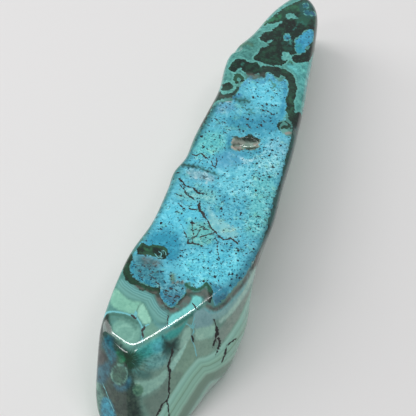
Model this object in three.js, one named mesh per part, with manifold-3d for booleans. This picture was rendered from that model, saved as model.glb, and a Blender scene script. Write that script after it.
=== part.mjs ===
// A polished chrysocolla and malachite stone: one slender free-form piece, lying on its flat underside.
// Millimetres, +Z up, +Y from the blunt end to the tip. The origin lies on the rest plane, under the middle.
import * as THREE from "three";
import { mergeVertices } from "three/addons/utils/BufferGeometryUtils.js";
import Module from "manifold-3d";

// Driving dimensions: the ground faces below stand at shares of them.
const LENGTH = 130;
const WIDTH = 30;
const HEIGHT = 21.6;

// How softly the polishing wheel rounded the edges: at the blunt end, at the tip and round the underside.
const EDGE_SOFTNESS_BLUNT = 1;
const EDGE_SOFTNESS_TIP = 1.7;
const EDGE_SOFTNESS_UNDER = 1.5;

// Mesh fineness: rings from end to end, and points round each ring.
const RINGS = 84;
const SPOKES = 48;

const at = (across, along, up) => new THREE.Vector3((across * WIDTH) / 2, (along * LENGTH) / 2, up * HEIGHT);

// The ground faces: compass bearing of the outward normal (0 is +X, 90 is +Y), its tilt above level, in
// degrees, and a point that the face passes through.
const GROUND_FACES = {
  top: { bearing: 0, tilt: 90, through: at(0, 0, 1) },
  underside: { bearing: 0, tilt: -90, through: at(0, 0, -0.03) },
  tipTop: { bearing: 80, tilt: 84, through: at(0.27, 0.55, 1.005) },
  rightNear: { bearing: -2.5, tilt: -13, through: at(0.98, -0.08, 0.93) },
  rightFar: { bearing: 4, tilt: -8, through: at(0.94, 0.5, 0.88) },
  tipRight: { bearing: 14, tilt: -6, through: at(0.88, 0.93, 0.79) },
  tipEnd: { bearing: 45, tilt: -8, through: at(0.5, 1.1, 0.72) },
  tipLeft: { bearing: 147, tilt: 2, through: at(-0.15, 1.05, 0.72) },
  tipShoulder: { bearing: 161, tilt: 0, through: at(-0.51, 0.825, 0.8) },
  left: { bearing: 173.5, tilt: -4, through: at(-0.82, -0.08, 0.74) },
  leftNear: { bearing: 184.5, tilt: -2, through: at(-1.045, -0.65, 0.65) },
  bluntLeft: { bearing: 241, tilt: 27, through: at(-0.68, -0.756, 0.97) },
  bluntMiddle: { bearing: 320, tilt: 31, through: at(-0.01, -0.676, 0.97) },
  bluntRight: { bearing: -30, tilt: 28, through: at(0.63, -0.45, 0.97) },
  keelRight: { bearing: -20, tilt: -36, through: at(0.74, -0.69, 0.02) },
  keelLeft: { bearing: 180, tilt: -45, through: at(-0.9, -0.15, 0.05) },
};

// Swellings that the polishing left proud, and hollows with a minus height.
const SWELLINGS = {
  shoulder: { centre: at(-0.57, 0.62, 0.8), radius: 9, height: 2 },
  waist: { centre: at(-0.68, 0.09, 0.9), radius: 4.5, height: -0.5 },
  ledgeLump: { centre: at(-0.78, 0.01, 0.85), radius: 3.5, height: 0.6 },
  leftDip: { centre: at(-0.87, -0.24, 0.88), radius: 8, height: -0.9 },
  leftLump: { centre: at(-0.97, -0.38, 0.74), radius: 6, height: 0.2 },
  rightHollow: { centre: at(0.85, 0.65, 0.88), radius: 10, height: -0.5 },
  rightPinch: { centre: at(0.93, -0.26, 0.85), radius: 5, height: -0.6 },
  belly: { centre: at(0.87, -0.46, 0.25), radius: 9, height: 2.7 },
  rightFoot: { centre: at(0.75, -0.59, 0.1), radius: 5, height: 1.3 },
  ledgeOuter: { centre: at(-0.55, 0.01, 1), radius: 3.6, height: -0.55 },
  ledgeInner: { centre: at(-0.2, 0, 1), radius: 3.4, height: -0.4 },
  pitBowl: { centre: at(0.17, 0.18, 1), radius: 6.5, height: -0.45 },
};

// Long shallow waves of hand polishing: wavelengths across and along the stone, phase in radians, and the
// height at the top. They die out towards the underside.
const POLISH_WAVES = [
  { across: 34, along: 47, phase: 0.6, height: 0.13 },
  { across: -21, along: 29, phase: 2.4, height: 0.09 },
  { across: 52, along: -19, phase: 4.1, height: 0.06 },
];

// The open pit in the top face: an oval hollow whose long axis lies at a bearing.
const PIT = { centre: at(0.17, 0.185, 0.985), halfLength: 3.1, halfWidth: 2.1, depth: 2.1, bearing: 14 };

// The line inside the stone from which the surface is measured outwards.
const CORE_BLUNT = at(-0.27, -0.78, 0.31);
const CORE_TIP = at(0.4, 0.89, 0.44);
const FARTHEST_REACH = 70;

const planes = Object.values(GROUND_FACES).map(({ bearing, tilt, through }) => {
  const [turn, rise] = [bearing, tilt].map(THREE.MathUtils.degToRad);
  const normal = new THREE.Vector3(
    Math.cos(turn) * Math.cos(rise),
    Math.sin(turn) * Math.cos(rise),
    Math.sin(rise),
  );
  return new THREE.Plane().setFromNormalAndCoplanarPoint(normal, through);
});

// Edge softness at a point: it grows from the blunt end to the tip, and changes over to that of the
// underside in the lowest part.
function softnessAt(point) {
  const towardsTip = THREE.MathUtils.smoothstep(point.y, -0.35 * LENGTH, 0.35 * LENGTH);
  const towardsUnder = 1 - THREE.MathUtils.smoothstep(point.z, 0, 0.4 * HEIGHT);
  const above = THREE.MathUtils.lerp(EDGE_SOFTNESS_BLUNT, EDGE_SOFTNESS_TIP, towardsTip);
  return THREE.MathUtils.lerp(above, EDGE_SOFTNESS_UNDER, towardsUnder);
}

// How far a point is outside the stone: the soft maximum of its distances to the ground faces, less the
// swellings and the waves. It is below zero inside.
function outsideBy(point) {
  const softness = softnessAt(point);
  const distances = planes.map((plane) => plane.distanceToPoint(point));
  const largest = Math.max(...distances);
  const sum = distances.reduce((total, d) => total + Math.exp((d - largest) / softness), 0);
  let distance = largest + softness * Math.log(sum);
  for (const { centre, radius, height } of Object.values(SWELLINGS))
    distance -= height * Math.exp(-point.distanceToSquared(centre) / radius ** 2);
  for (const { across, along, phase, height } of POLISH_WAVES) {
    const turns = point.x / across + point.y / along;
    distance -= height * (point.z / HEIGHT) * Math.sin(2 * Math.PI * turns + phase);
  }
  return distance;
}

// The surface point on a ray from the core, found by halving.
function surfaceOn(start, direction) {
  const point = new THREE.Vector3();
  let [inside, outside] = [0, FARTHEST_REACH];
  for (let step = 0; step < 40; step++) {
    const middle = (inside + outside) / 2;
    point.copy(start).addScaledVector(direction, middle);
    if (outsideBy(point) < 0) inside = middle;
    else outside = middle;
  }
  return point.copy(start).addScaledVector(direction, inside);
}

// Rings of surface points from the blunt end to the tip. The rays fan out from square to the core in the
// middle to straight along it at both ends, where a ring is one point.
function stoneSurface() {
  const axis = CORE_TIP.clone().sub(CORE_BLUNT).normalize();
  const side = new THREE.Vector3().crossVectors(axis, new THREE.Vector3(0, 0, 1)).normalize();
  const up = new THREE.Vector3().crossVectors(side, axis);
  const points = [surfaceOn(CORE_BLUNT, axis.clone().negate())];
  for (let ring = 1; ring < RINGS; ring++) {
    const share = ring / RINGS;
    const fan = (Math.PI / 2) * (2 * share - 1) ** 3;
    const start = CORE_BLUNT.clone().lerp(CORE_TIP, share);
    for (let spoke = 0; spoke < SPOKES; spoke++) {
      const turn = (2 * Math.PI * spoke) / SPOKES;
      const direction = axis.clone().multiplyScalar(Math.sin(fan));
      direction.addScaledVector(side, Math.cos(fan) * Math.cos(turn));
      direction.addScaledVector(up, Math.cos(fan) * Math.sin(turn));
      points.push(surfaceOn(start, direction));
    }
  }
  points.push(surfaceOn(CORE_TIP, axis));
  return points;
}

// The closed mesh over those rings, with a fan of triangles at each end.
function stoneGeometry() {
  const points = stoneSurface();
  const triangles = [];
  const onRing = (ring, spoke) => 1 + (ring - 1) * SPOKES + (spoke % SPOKES);
  const last = points.length - 1;
  for (let spoke = 0; spoke < SPOKES; spoke++) {
    triangles.push(0, onRing(1, spoke), onRing(1, spoke + 1));
    for (let ring = 1; ring < RINGS - 1; ring++) {
      const [a, b] = [onRing(ring, spoke), onRing(ring, spoke + 1)];
      const [c, d] = [onRing(ring + 1, spoke), onRing(ring + 1, spoke + 1)];
      triangles.push(a, d, b, a, c, d);
    }
    triangles.push(last, onRing(RINGS - 1, spoke + 1), onRing(RINGS - 1, spoke));
  }
  return new THREE.BufferGeometry().setFromPoints(points).setIndex(triangles);
}

// The hollow of the open pit.
function pitGeometry() {
  return new THREE.SphereGeometry(1, 20, 12)
    .scale(PIT.halfLength, PIT.halfWidth, PIT.depth)
    .rotateZ(THREE.MathUtils.degToRad(PIT.bearing))
    .translate(...PIT.centre);
}

// Everything under the rest plane, which is ground off flat.
function underTheRestPlane() {
  const depth = HEIGHT;
  return new THREE.BoxGeometry(4 * WIDTH, 4 * LENGTH, depth).translate(0, 0, -depth / 2);
}

const wasm = await Module();
wasm.setup();

function solidOf(geometry) {
  geometry.deleteAttribute("normal");
  geometry.deleteAttribute("uv");
  const merged = mergeVertices(geometry);
  return new wasm.Manifold(
    new wasm.Mesh({
      numProp: 3,
      vertProperties: merged.attributes.position.array,
      triVerts: new Uint32Array(merged.index.array),
    }),
  );
}

function geometryOf(solid) {
  const mesh = solid.getMesh();
  const geometry = new THREE.BufferGeometry()
    .setAttribute("position", new THREE.BufferAttribute(mesh.vertProperties, 3))
    .setIndex(new THREE.BufferAttribute(mesh.triVerts, 1));
  geometry.computeVertexNormals();
  return geometry;
}

// The stone, with its pit and its flat underside, centred over the origin.
const stoneForm = geometryOf(
  solidOf(stoneGeometry()).subtract(solidOf(underTheRestPlane())).subtract(solidOf(pitGeometry())),
);
stoneForm.computeBoundingBox();
const middle = stoneForm.boundingBox.getCenter(new THREE.Vector3());
stoneForm.translate(-middle.x, -middle.y, 0);

const polishedChrysocolla = new THREE.MeshStandardMaterial({
  color: 0x3fa9b4,
  roughness: 0.18,
  metalness: 0,
});
const stone = new THREE.Mesh(stoneForm, polishedChrysocolla);
stone.name = "stone";

const specimen = new THREE.Group();
specimen.add(stone);
export default specimen;
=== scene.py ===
import math

import bpy
import numpy as np
from mathutils import Matrix, Vector


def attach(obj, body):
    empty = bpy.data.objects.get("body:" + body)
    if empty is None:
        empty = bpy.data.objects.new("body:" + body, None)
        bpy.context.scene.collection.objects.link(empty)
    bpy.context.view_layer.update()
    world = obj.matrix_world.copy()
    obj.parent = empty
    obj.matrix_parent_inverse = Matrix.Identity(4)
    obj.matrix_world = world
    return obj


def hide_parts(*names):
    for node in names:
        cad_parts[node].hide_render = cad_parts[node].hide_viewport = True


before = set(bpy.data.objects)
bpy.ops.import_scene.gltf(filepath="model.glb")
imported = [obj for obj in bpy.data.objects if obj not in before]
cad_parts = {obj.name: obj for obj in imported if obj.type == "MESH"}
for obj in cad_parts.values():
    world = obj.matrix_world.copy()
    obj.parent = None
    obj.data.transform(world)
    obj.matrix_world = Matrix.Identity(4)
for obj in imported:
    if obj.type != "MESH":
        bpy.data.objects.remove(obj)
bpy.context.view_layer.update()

# The stone's form.
# One natural piece of chrysocolla and malachite, sawn from the rough and ground on a wheel to flats that
# meet in soft edges, then polished. It lies on the flat underside. Lengths are millimetres until the mesh.
LENGTH, WIDTH, HEIGHT = 130.0, 30.0, 21.6

# Softness of the edges between flats, which changes over these shares of the length, to either side of the
# middle, and of the height.
SOFTNESS_BLUNT, SOFTNESS_TIP, SOFTNESS_UNDER = 1.0, 1.7, 1.5
SOFTNESS_ALONG, SOFTNESS_UP = 0.35, 0.4

# Ground flats: compass bearing of the outward normal and its tilt above level, in degrees, and a point on
# the flat as shares of half the width, half the length and the height.
GROUND_FLATS = {
    "top": (0, 90, (0, 0, 1)),
    "underside": (0, -90, (0, 0, -0.03)),
    "tip top": (80, 84, (0.27, 0.55, 1.005)),
    "right, near": (-2.5, -13, (0.98, -0.08, 0.93)),
    "right, far": (4, -8, (0.94, 0.5, 0.88)),
    "tip, right": (14, -6, (0.88, 0.93, 0.79)),
    "tip, end": (45, -8, (0.5, 1.1, 0.72)),
    "tip, left": (147, 2, (-0.15, 1.05, 0.72)),
    "tip shoulder": (161, 0, (-0.51, 0.825, 0.8)),
    "left": (173.5, -4, (-0.82, -0.08, 0.74)),
    "left, near": (184.5, -2, (-1.045, -0.65, 0.65)),
    "blunt end, left": (241, 27, (-0.68, -0.756, 0.97)),
    "blunt end, middle": (320, 31, (-0.01, -0.676, 0.97)),
    "blunt end, right": (-30, 28, (0.63, -0.45, 0.97)),
    "keel, right": (-20, -36, (0.74, -0.69, 0.02)),
    "keel, left": (180, -45, (-0.9, -0.15, 0.05)),
}

# Swellings left proud by the polishing, and hollows with a minus height: centre, radius, height.
SWELLINGS = {
    "shoulder": ((-0.57, 0.62, 0.8), 9, 2),
    "waist": ((-0.68, 0.09, 0.9), 4.5, -0.5),
    "ledge lump": ((-0.78, 0.01, 0.85), 3.5, 0.6),
    "left dip": ((-0.87, -0.24, 0.88), 8, -0.9),
    "left lump": ((-0.97, -0.38, 0.74), 6, 0.2),
    "right hollow": ((0.85, 0.65, 0.88), 10, -0.5),
    "right pinch": ((0.93, -0.26, 0.85), 5, -0.6),
    "belly": ((0.87, -0.46, 0.25), 9, 2.7),
    "right foot": ((0.75, -0.59, 0.1), 5, 1.3),
    "ledge, outer": ((-0.55, 0.01, 1), 3.6, -0.55),
    "ledge, inner": ((-0.2, 0, 1), 3.4, -0.4),
    "bowl round the pit": ((0.17, 0.18, 1), 6.5, -0.45),
    "nick at the shoulder": ((-0.48, 0.665, 0.93), 1.3, -0.7),
}

# Long shallow waves of hand polishing: wavelengths across and along, phase, height at the top.
POLISH_WAVES = ((34, 47, 0.6, 0.13), (-21, 29, 2.4, 0.09), (52, -19, 4.1, 0.06))

# The open pit in the top: centre, half length, half width, depth, and the bearing of its long axis.
PIT_CENTRE, PIT_RADII, PIT_BEARING = (0.17, 0.185, 0.985), (3.1, 2.1, 2.1), 14
PIT_LIP = 0.12

# The line inside the stone from which the surface is measured, and the fineness of the mesh, of the search
# for the surface and of its slope.
CORE_BLUNT, CORE_TIP, FARTHEST = (-0.27, -0.78, 0.31), (0.4, 0.89, 0.44), 70.0
RINGS, SPOKES, TOP_CROWDING = 400, 244, 0.55
HALVINGS, SLOPE_STEP = 26, 0.02


def at(shares):
    """A point from its shares of half the width, half the length and the height."""
    return np.array(shares, float) * (WIDTH / 2, LENGTH / 2, HEIGHT)


def ramp(low, high, value):
    """Smooth step: 0 at low, 1 at high, with level ends."""
    share = np.clip((value - low) / (high - low), 0, 1)
    return share * share * (3 - 2 * share)


def direction(bearing, tilt):
    """Unit vector with a compass bearing from +X and a tilt above level, in degrees."""
    turn, rise = math.radians(bearing), math.radians(tilt)
    return np.array((math.cos(turn) * math.cos(rise), math.sin(turn) * math.cos(rise), math.sin(rise)))


def outside_by(points):
    """How far points are outside the stone: the soft maximum of their distances to the ground flats, that
    is softness times the log of the summed exponentials, less the bell-shaped swellings and the polish
    waves, then cut back by the oval pit with a rounded lip."""
    across, along, up = np.moveaxis(points, -1, 0)
    reach = SOFTNESS_ALONG * LENGTH
    softness = SOFTNESS_BLUNT + (SOFTNESS_TIP - SOFTNESS_BLUNT) * ramp(-reach, reach, along)
    softness = SOFTNESS_UNDER + (softness - SOFTNESS_UNDER) * ramp(0, SOFTNESS_UP * HEIGHT, up)
    outward = [direction(bearing, tilt) for bearing, tilt, _ in GROUND_FLATS.values()]
    offsets = [normal @ at(flat[2]) for normal, flat in zip(outward, GROUND_FLATS.values())]
    distances = points @ np.array(outward).T - np.array(offsets)
    largest = distances.max(-1)
    summed = np.exp((distances - largest[..., None]) / softness[..., None]).sum(-1)
    outside = largest + softness * np.log(summed)
    for centre, radius, height in SWELLINGS.values():
        outside = outside - height * np.exp(-((points - at(centre)) ** 2).sum(-1) / radius**2)
    for wave_across, wave_along, phase, height in POLISH_WAVES:
        turns = across / wave_across + along / wave_along
        outside = outside - height * (up / HEIGHT) * np.sin(2 * np.pi * turns + phase)
    long_axis, short_axis = direction(PIT_BEARING, 0), direction(PIT_BEARING + 90, 0)
    from_pit = points - at(PIT_CENTRE)
    pit_frame = np.stack((from_pit @ long_axis, from_pit @ short_axis, from_pit[..., 2]), -1)
    into_pit = (1 - np.linalg.norm(pit_frame / PIT_RADII, axis=-1)) * min(PIT_RADII)
    return outside + PIT_LIP * np.logaddexp(0, (into_pit - outside) / PIT_LIP)


def stone_surface():
    """Rings of surface points. The share runs along the core and the turn goes round it. The ray from a
    core point leans from square to the core in the middle to straight along it at the ends, by a cube of
    the share, and the surface lies where outside_by changes sign on it, found by halving. Below the rest
    plane it is cut flat."""
    share = np.linspace(0, 1, RINGS + 1)[:, None, None]
    part = np.arange(SPOKES)[None, :, None] / SPOKES
    turn = 2 * np.pi * part + TOP_CROWDING * np.cos(2 * np.pi * part)
    fan = np.pi / 2 * (2 * share - 1) ** 3
    start, end = at(CORE_BLUNT), at(CORE_TIP)
    axis = (end - start) / np.linalg.norm(end - start)
    side = np.cross(axis, (0, 0, 1))
    side /= np.linalg.norm(side)
    above = np.cross(side, axis)
    ray = np.sin(fan) * axis + np.cos(fan) * (np.cos(turn) * side + np.sin(turn) * above)
    origin = start + share * (end - start) + 0 * ray
    inside, outside = np.zeros(ray.shape[:2]), np.full(ray.shape[:2], FARTHEST)
    for _ in range(HALVINGS):
        middle = (inside + outside) / 2
        is_inside = outside_by(origin + middle[..., None] * ray) < 0
        inside, outside = np.where(is_inside, middle, inside), np.where(is_inside, outside, middle)
    surface = origin + inside[..., None] * ray
    surface[..., 2] = np.maximum(surface[..., 2], 0)
    return surface


def outward_at(points):
    """Unit normals: the slope of outside_by along each axis, from points a small step to either side. The
    flat underside looks straight down."""
    steps = SLOPE_STEP * np.eye(3)
    slope = np.stack([outside_by(points + step) - outside_by(points - step) for step in steps], -1)
    normals = slope / np.linalg.norm(slope, axis=-1, keepdims=True)
    return np.where(points[:, 2:] > 0, normals, (0.0, 0.0, -1.0))


rings = stone_surface()

# Where the markings lie. Their outlines are given in the frame of the view, in pixels of a 416 by 416
# picture, and are carried to the stone by the same view as the camera's. A spot goes out of view between
# two cosines of its angle to the eye. Sides that the view doesn't reach take the marking of the top edge
# above them, which sways to and fro on the way down.
FRAME_PIXELS, PIXELS_PER_MM = 416, 4.4
VIEW_BEARING, VIEW_RISE, VIEW_DISTANCE, VIEW_TARGET = 15.0, 52.0, 260.0, (-1.0, -9.0, 21.0)
OUT_OF_VIEW, IN_VIEW = -0.1, 0.15
TOP_LEVEL = 21.0
SIDE_SWAY, SWAY_DEEP, SWAY_LONG = 0.5, 13.0, 17.0

view_back = direction(VIEW_BEARING - 90, VIEW_RISE)
view_right = direction(VIEW_BEARING, 0)
view_eye = np.array(VIEW_TARGET) + VIEW_DISTANCE * view_back


def seen_at(points):
    """Pixel of each point: its offsets to the right of and above the view line over its distance in front
    of the eye, times the focal length in pixels, measured from the middle of the frame."""
    from_eye = points - view_eye
    away = -from_eye @ view_back
    across, up = from_eye @ view_right, from_eye @ np.cross(view_back, view_right)
    return FRAME_PIXELS / 2 + PIXELS_PER_MM * VIEW_DISTANCE * np.stack((across, -up), -1) / away[:, None]


def flattened(grid):
    """One row of points from rings of them, each end ring being a single point."""
    return np.concatenate((grid[:1, 0], grid[1:-1].reshape(-1, 3), grid[-1:, 0]))


stone_points = flattened(rings)
stone_normals = outward_at(stone_points)
to_eye = view_eye - stone_points
to_eye /= np.linalg.norm(to_eye, axis=1, keepdims=True)
in_view = ramp(OUT_OF_VIEW, IN_VIEW, (stone_normals * to_eye).sum(1))
below_level = TOP_LEVEL - stone_points[:, 2]
sway_turns = below_level / SWAY_DEEP + stone_points[:, 1] / SWAY_LONG
sway = SIDE_SWAY * below_level * np.sin(2 * np.pi * sway_turns)
at_top = np.full(len(stone_points), TOP_LEVEL)
lifted = np.column_stack((stone_points[:, 0], stone_points[:, 1] + sway, at_top))
spot = in_view[:, None] * seen_at(stone_points) + (1 - in_view)[:, None] * seen_at(lifted)

# Drawn curves: the steps to each span, how far out depths are measured, in pixels, and what stands in for
# nothing in a division.
SPAN_STEPS, REACH, TINY = 4, 14.0, 1e-9


def curve_through(points, closed):
    """Smooth curve through given points: on each span a cubic whose end slopes are half the step between
    the neighbours on either side."""
    points = np.array(points, float)
    padded = np.vstack((points[-1:], points, points[:2]) if closed else (points[:1], points, points[-1:]))
    before, start, end, after = padded[:-3, None], padded[1:-2, None], padded[2:-1, None], padded[3:, None]
    share = np.linspace(0, 1, SPAN_STEPS, endpoint=False)[None, :, None]
    slope_in, slope_out = (end - before) / 2, (after - start) / 2
    curve = (
        (2 * share**3 - 3 * share**2 + 1) * start
        + (share**3 - 2 * share**2 + share) * slope_in
        + (3 * share**2 - 2 * share**3) * end
        + (share**3 - share**2) * slope_out
    ).reshape(-1, 2)
    return np.vstack((curve, curve[:1] if closed else points[-1:]))


def inside_by(points, half_width=None, reach=REACH, spots=spot):
    """Depth of every spot inside an outline, in pixels: the distance to its curve, plus inside by a count
    of crossings and minus outside. With a half width the curve is open, and the depth is that inside a
    stroke. Farther out than reach it stays at minus reach."""
    curve = curve_through(points, half_width is None)
    depth = np.full(len(spots), -reach)
    near = np.all((spots > curve.min(0) - reach) & (spots < curve.max(0) + reach), axis=1)
    near_spots = spots[near]
    nearest = np.full(len(near_spots), reach**2)
    crossings = np.zeros(len(near_spots), bool)
    for start, end in zip(curve[:-1], curve[1:]):
        run = end - start
        share = np.clip((near_spots - start) @ run / max(run @ run, TINY), 0, 1)
        nearest = np.minimum(nearest, ((near_spots - start - share[:, None] * run) ** 2).sum(1))
        spans = (start[1] > near_spots[:, 1]) != (end[1] > near_spots[:, 1])
        fall = run[1] if abs(run[1]) > TINY else TINY
        crossings ^= spans & (near_spots[:, 0] < start[0] + run[0] * (near_spots[:, 1] - start[1]) / fall)
    distance = np.sqrt(nearest)
    depth[near] = np.where(crossings, distance, -distance) if half_width is None else half_width - distance
    return depth


def cover(points, feather, half_width=None, reach=REACH, spots=spot):
    """Cover of an outline at every spot, from 0 to 1: a smooth step over a feather to either side of its
    edge, in pixels."""
    return ramp(-feather, feather, inside_by(points, half_width, reach, spots))


def deepest(outlines):
    """Depth inside the nearest of several outlines."""
    return np.max([inside_by(outline) for outline in outlines.values()], axis=0)


def beside(strokes):
    """For the nearest of several strokes, by depth: the offset of every spot to one side of it, minus on
    the other, its half width, and the depth inside it, all in pixels. Offsets change sign across the
    stroke, so that a line finer than the mesh stays whole. Spots far from every stroke keep the first
    values."""
    offset_by, half_widths, depth = (np.full(len(spot), first) for first in (REACH, 0.5, -REACH))
    for half_width, points in strokes.values():
        curve = curve_through(points, False)
        near = np.flatnonzero(np.all((spot > curve.min(0) - REACH) & (spot < curve.max(0) + REACH), axis=1))
        for start, end in zip(curve[:-1], curve[1:]):
            run = end - start
            share = np.clip((spot[near] - start) @ run / max(run @ run, TINY), 0, 1)
            offset = spot[near] - start - share[:, None] * run
            distance = np.linalg.norm(offset, axis=1)
            closer = half_width - distance > depth[near]
            chosen = near[closer]
            left = run[0] * offset[closer, 1] > run[1] * offset[closer, 0]
            offset_by[chosen] = np.where(left, distance[closer], -distance[closer])
            half_widths[chosen], depth[chosen] = half_width, half_width - distance[closer]
    return offset_by, half_widths, depth


def oval(centre, radii, turn=0.0):
    """Eight points round an oval, turned by degrees."""
    angle = np.arange(8) * np.pi / 4
    flat = np.column_stack((radii[0] * np.cos(angle), radii[1] * np.sin(angle)))
    cosine, sine = math.cos(math.radians(turn)), math.sin(math.radians(turn))
    return flat @ np.array(((cosine, sine), (-sine, cosine))) + centre


def linear(hex_colour):
    """Linear colour of an sRGB hex value."""
    parts = np.array([int(hex_colour[i : i + 2], 16) / 255 for i in (1, 3, 5)])
    return np.where(parts <= 0.04045, parts / 12.92, ((parts + 0.055) / 1.055) ** 2.4)


# Crossing waves that make drawn edges uneven: wavelength in pixels, bearing in degrees, and phase. Cells
# and panels in the ground have cleaner edges than the blue and the dark green.
WOBBLES = (
    ((7.3, 20, 0.3), (4.6, 75, 1.9), (3.2, 130, 4.0)),
    ((6.7, 110, 2.2), (4.2, 160, 0.7), (3.4, 45, 5.1)),
)
WOBBLE_HEIGHT, GROUND_WOBBLE = 0.45, 0.4
wobbled = spot + WOBBLE_HEIGHT * np.column_stack([
    sum(
        np.sin(2 * np.pi * (spot @ direction(bearing, 0)[:2]) / length + phase)
        for length, bearing, phase in waves
    )
    for waves in WOBBLES
])


def painted(base, patches, wobble=1.0):
    """Colour at every spot, with edges wobbled by a share of the waves: a base colour, with patches laid
    over it in turn. Each has a colour, a feather in pixels by which its edge is soft, a half width for an
    open stroke or None for a closed outline, and its points."""
    colour = np.tile(linear(base), (len(spot), 1))
    spots = spot + wobble * (wobbled - spot)
    for hex_colour, feather, half_width, points in patches.values():
        share = cover(points, feather, half_width, max(REACH, feather + 2), spots)
        colour += share[:, None] * (linear(hex_colour) - colour)
    return colour


# Chrysocolla: the blue field that fills the top, and lenses of it in the tip.
CHRYSOCOLLA = {
    "field": [(238.5, 89), (240, 86), (244, 82), (247, 78), (251, 75.5), (253, 79), (256, 79), (260, 77),
        (264, 79), (266, 74), (269, 73), (272, 74), (274.5, 77), (277, 79), (279, 81), (283, 79.5),
        (286.5, 80), (288, 83), (287.5, 87), (288.5, 91), (286.5, 95), (285.5, 100), (287, 105),
        (285.5, 110), (287, 114), (284, 119), (279, 122), (278, 127), (280, 131), (286, 135), (292, 137),
        (296, 141), (295, 150), (293, 158), (290, 167), (287, 177), (283, 187), (280, 195), (277, 204),
        (274, 213), (271, 223), (268, 233), (264, 243), (259, 252), (254, 261), (249, 269), (243, 278),
        (237, 285), (230, 292), (225, 299), (219, 303), (215, 305), (213, 300), (213, 295), (212, 290),
        (209, 284), (206, 282.5), (203, 285), (198, 289.5), (191, 288), (189, 283), (185, 283),
        (186, 289), (185, 294), (181, 299), (177, 303), (174, 306.5), (170, 307), (166, 304.5),
        (162, 300), (159, 295), (159.5, 291), (156, 289), (150, 286), (143, 283), (137, 280.5),
        (132, 277), (130, 272), (130, 266), (131, 260), (133, 255), (138, 247), (143, 239), (149, 229),
        (154, 220), (159, 211), (164, 200), (169, 188), (174, 176), (179, 168), (186, 158), (192, 147),
        (198, 135), (205, 122), (211, 111), (216, 104), (221, 102.5), (231, 101), (232, 97), (236, 94),
        (238, 92)],
}
TIP_LENSES = {
    "lens": [(294.5, 40), (297, 38), (300, 36), (303, 32.5), (308, 30), (312, 29), (313.5, 32), (314, 37),
        (312, 42), (309, 45), (306, 47), (305, 51), (302, 53.5), (297.5, 53), (295.5, 50), (295, 45)],
    "dot": oval((287, 37.8), (3.6, 3.3)),
    "corner, upper": [(303, 4), (306, 3), (309, 5), (307, 8), (303.5, 7.5)],
    "corner, lower": [(303, 11), (307, 10), (311, 11), (315, 13), (315.5, 16), (311, 15), (306, 15)],
}

# Dark malachite: velvety green-black lobes round the tip, a border down the right edge, and rims below the
# blue field. The border is partly painted shade of the right flank, and the right stroke of the shelf ends
# in painted shade behind the mint block. Gaps in it show the mint ground.
DARK_MALACHITE = {
    "cap": [(262, 24.5), (268, 20), (275, 15), (280, 11), (285, 7), (291, 4), (297, 1.5), (304, -1),
        (312, 0), (318, 6), (321, 14), (322, 26), (320, 38), (316, 48), (311, 47), (306, 50), (303, 54),
        (297, 54), (292, 55), (288.5, 53), (284.5, 51.5), (282, 52), (279, 46), (274, 40.5), (268, 41.5),
        (265, 42), (261, 40.5), (259.8, 37), (261.5, 33.5), (265, 32), (270, 30.5), (274, 28), (278, 25),
        (281, 22.5), (280, 21.5), (276, 22.5), (270, 23.5)],
    "block": [(274, 40.5), (279, 41), (283, 46), (283, 51), (282, 56), (282.5, 59.5), (288, 60),
        (287, 62), (284, 64), (281.5, 66), (278, 65.5), (272, 65), (266, 64), (261, 63), (257.5, 61),
        (254.5, 60.5), (254.5, 57), (255.5, 54.5), (259, 52), (260, 48), (264, 46.5), (268, 45),
        (271, 42.5)],
    "arc": [(292, 57), (295, 54.5), (299, 54), (304, 53.5), (306, 50), (308, 47), (311, 44), (315, 42),
        (316, 48), (313, 54), (310, 60), (305, 62.8), (300, 63.5), (295, 62.5), (292, 60)],
    "lobe, left": [(229.3, 68), (231, 65), (233, 62.3), (235, 60), (239, 58.3), (243, 58.3), (246, 60.3),
        (246, 63), (243.5, 65), (242, 67.5), (238, 69.3), (235, 72), (231, 71)],
    "lobe, middle": [(244.5, 61), (250, 61.3), (254, 62.6), (258, 63.8), (261, 66), (261, 70),
        (258.5, 74), (253, 75.7), (248, 74.7), (244, 71.5), (242, 68), (242.5, 64.5)],
    "lobe, right": [(260, 67), (264, 65.8), (270, 66.2), (276, 66.6), (281, 68.5), (281, 73), (279.5, 79),
        (277.5, 78), (275, 76), (272, 73.5), (269, 72.5), (266, 73.5), (264, 77.5), (260, 76), (258, 71)],
    "ring": oval((239.3, 79), (5.5, 5.2)),
    "oval": oval((227.4, 87), (6.3, 4.6), -10),
    "left edge": [(240, 84.5), (243, 82), (240, 87), (238, 91), (234, 95), (231, 98), (226, 99),
        (220, 99), (216, 102), (212, 108), (207, 117), (202, 127), (200, 127), (204, 118), (209, 108),
        (213, 99), (216, 92), (218.5, 90.5), (221.5, 92.5), (226, 93.8), (231, 92.6), (234.5, 90),
        (236.5, 86.5)],
    "right band": [(280, 69.5), (285, 69), (290, 72), (294, 77), (296.5, 83), (297, 89), (296, 95),
        (294.5, 101), (294.5, 107), (295, 113), (293, 119), (288, 119), (287.5, 114), (285.5, 110),
        (287, 105), (285.5, 100), (286.5, 95), (288.5, 91), (287.5, 87), (288, 83), (286.5, 79),
        (283, 77), (280, 74)],
    "right border with painted flank shade": [(288, 119), (295, 113), (302, 114.5), (304, 128), (300, 150), (292, 176), (284, 200),
        (274, 228), (265, 252), (253, 268), (252, 265), (257, 254), (262.5, 240), (267.5, 224),
        (272.5, 205), (278, 186), (283.5, 168), (287, 154), (289.5, 142), (291.5, 136), (292, 125)],
    "patch": [(136, 249), (138, 245), (143, 242.5), (147, 244.5), (152, 245), (158, 245), (163, 245),
        (167, 247.5), (169, 252), (169, 255), (166, 258.5), (161, 259.5), (157, 258), (153, 255.5),
        (148, 255), (143, 255), (139, 255.5), (136.5, 253)],
}
LEFT_RIM = [(129, 257), (127, 263), (126.3, 269), (127.5, 275), (131, 279.5), (135.5, 283), (140, 285.5),
    (146, 288), (152, 290), (157, 291)]
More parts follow.
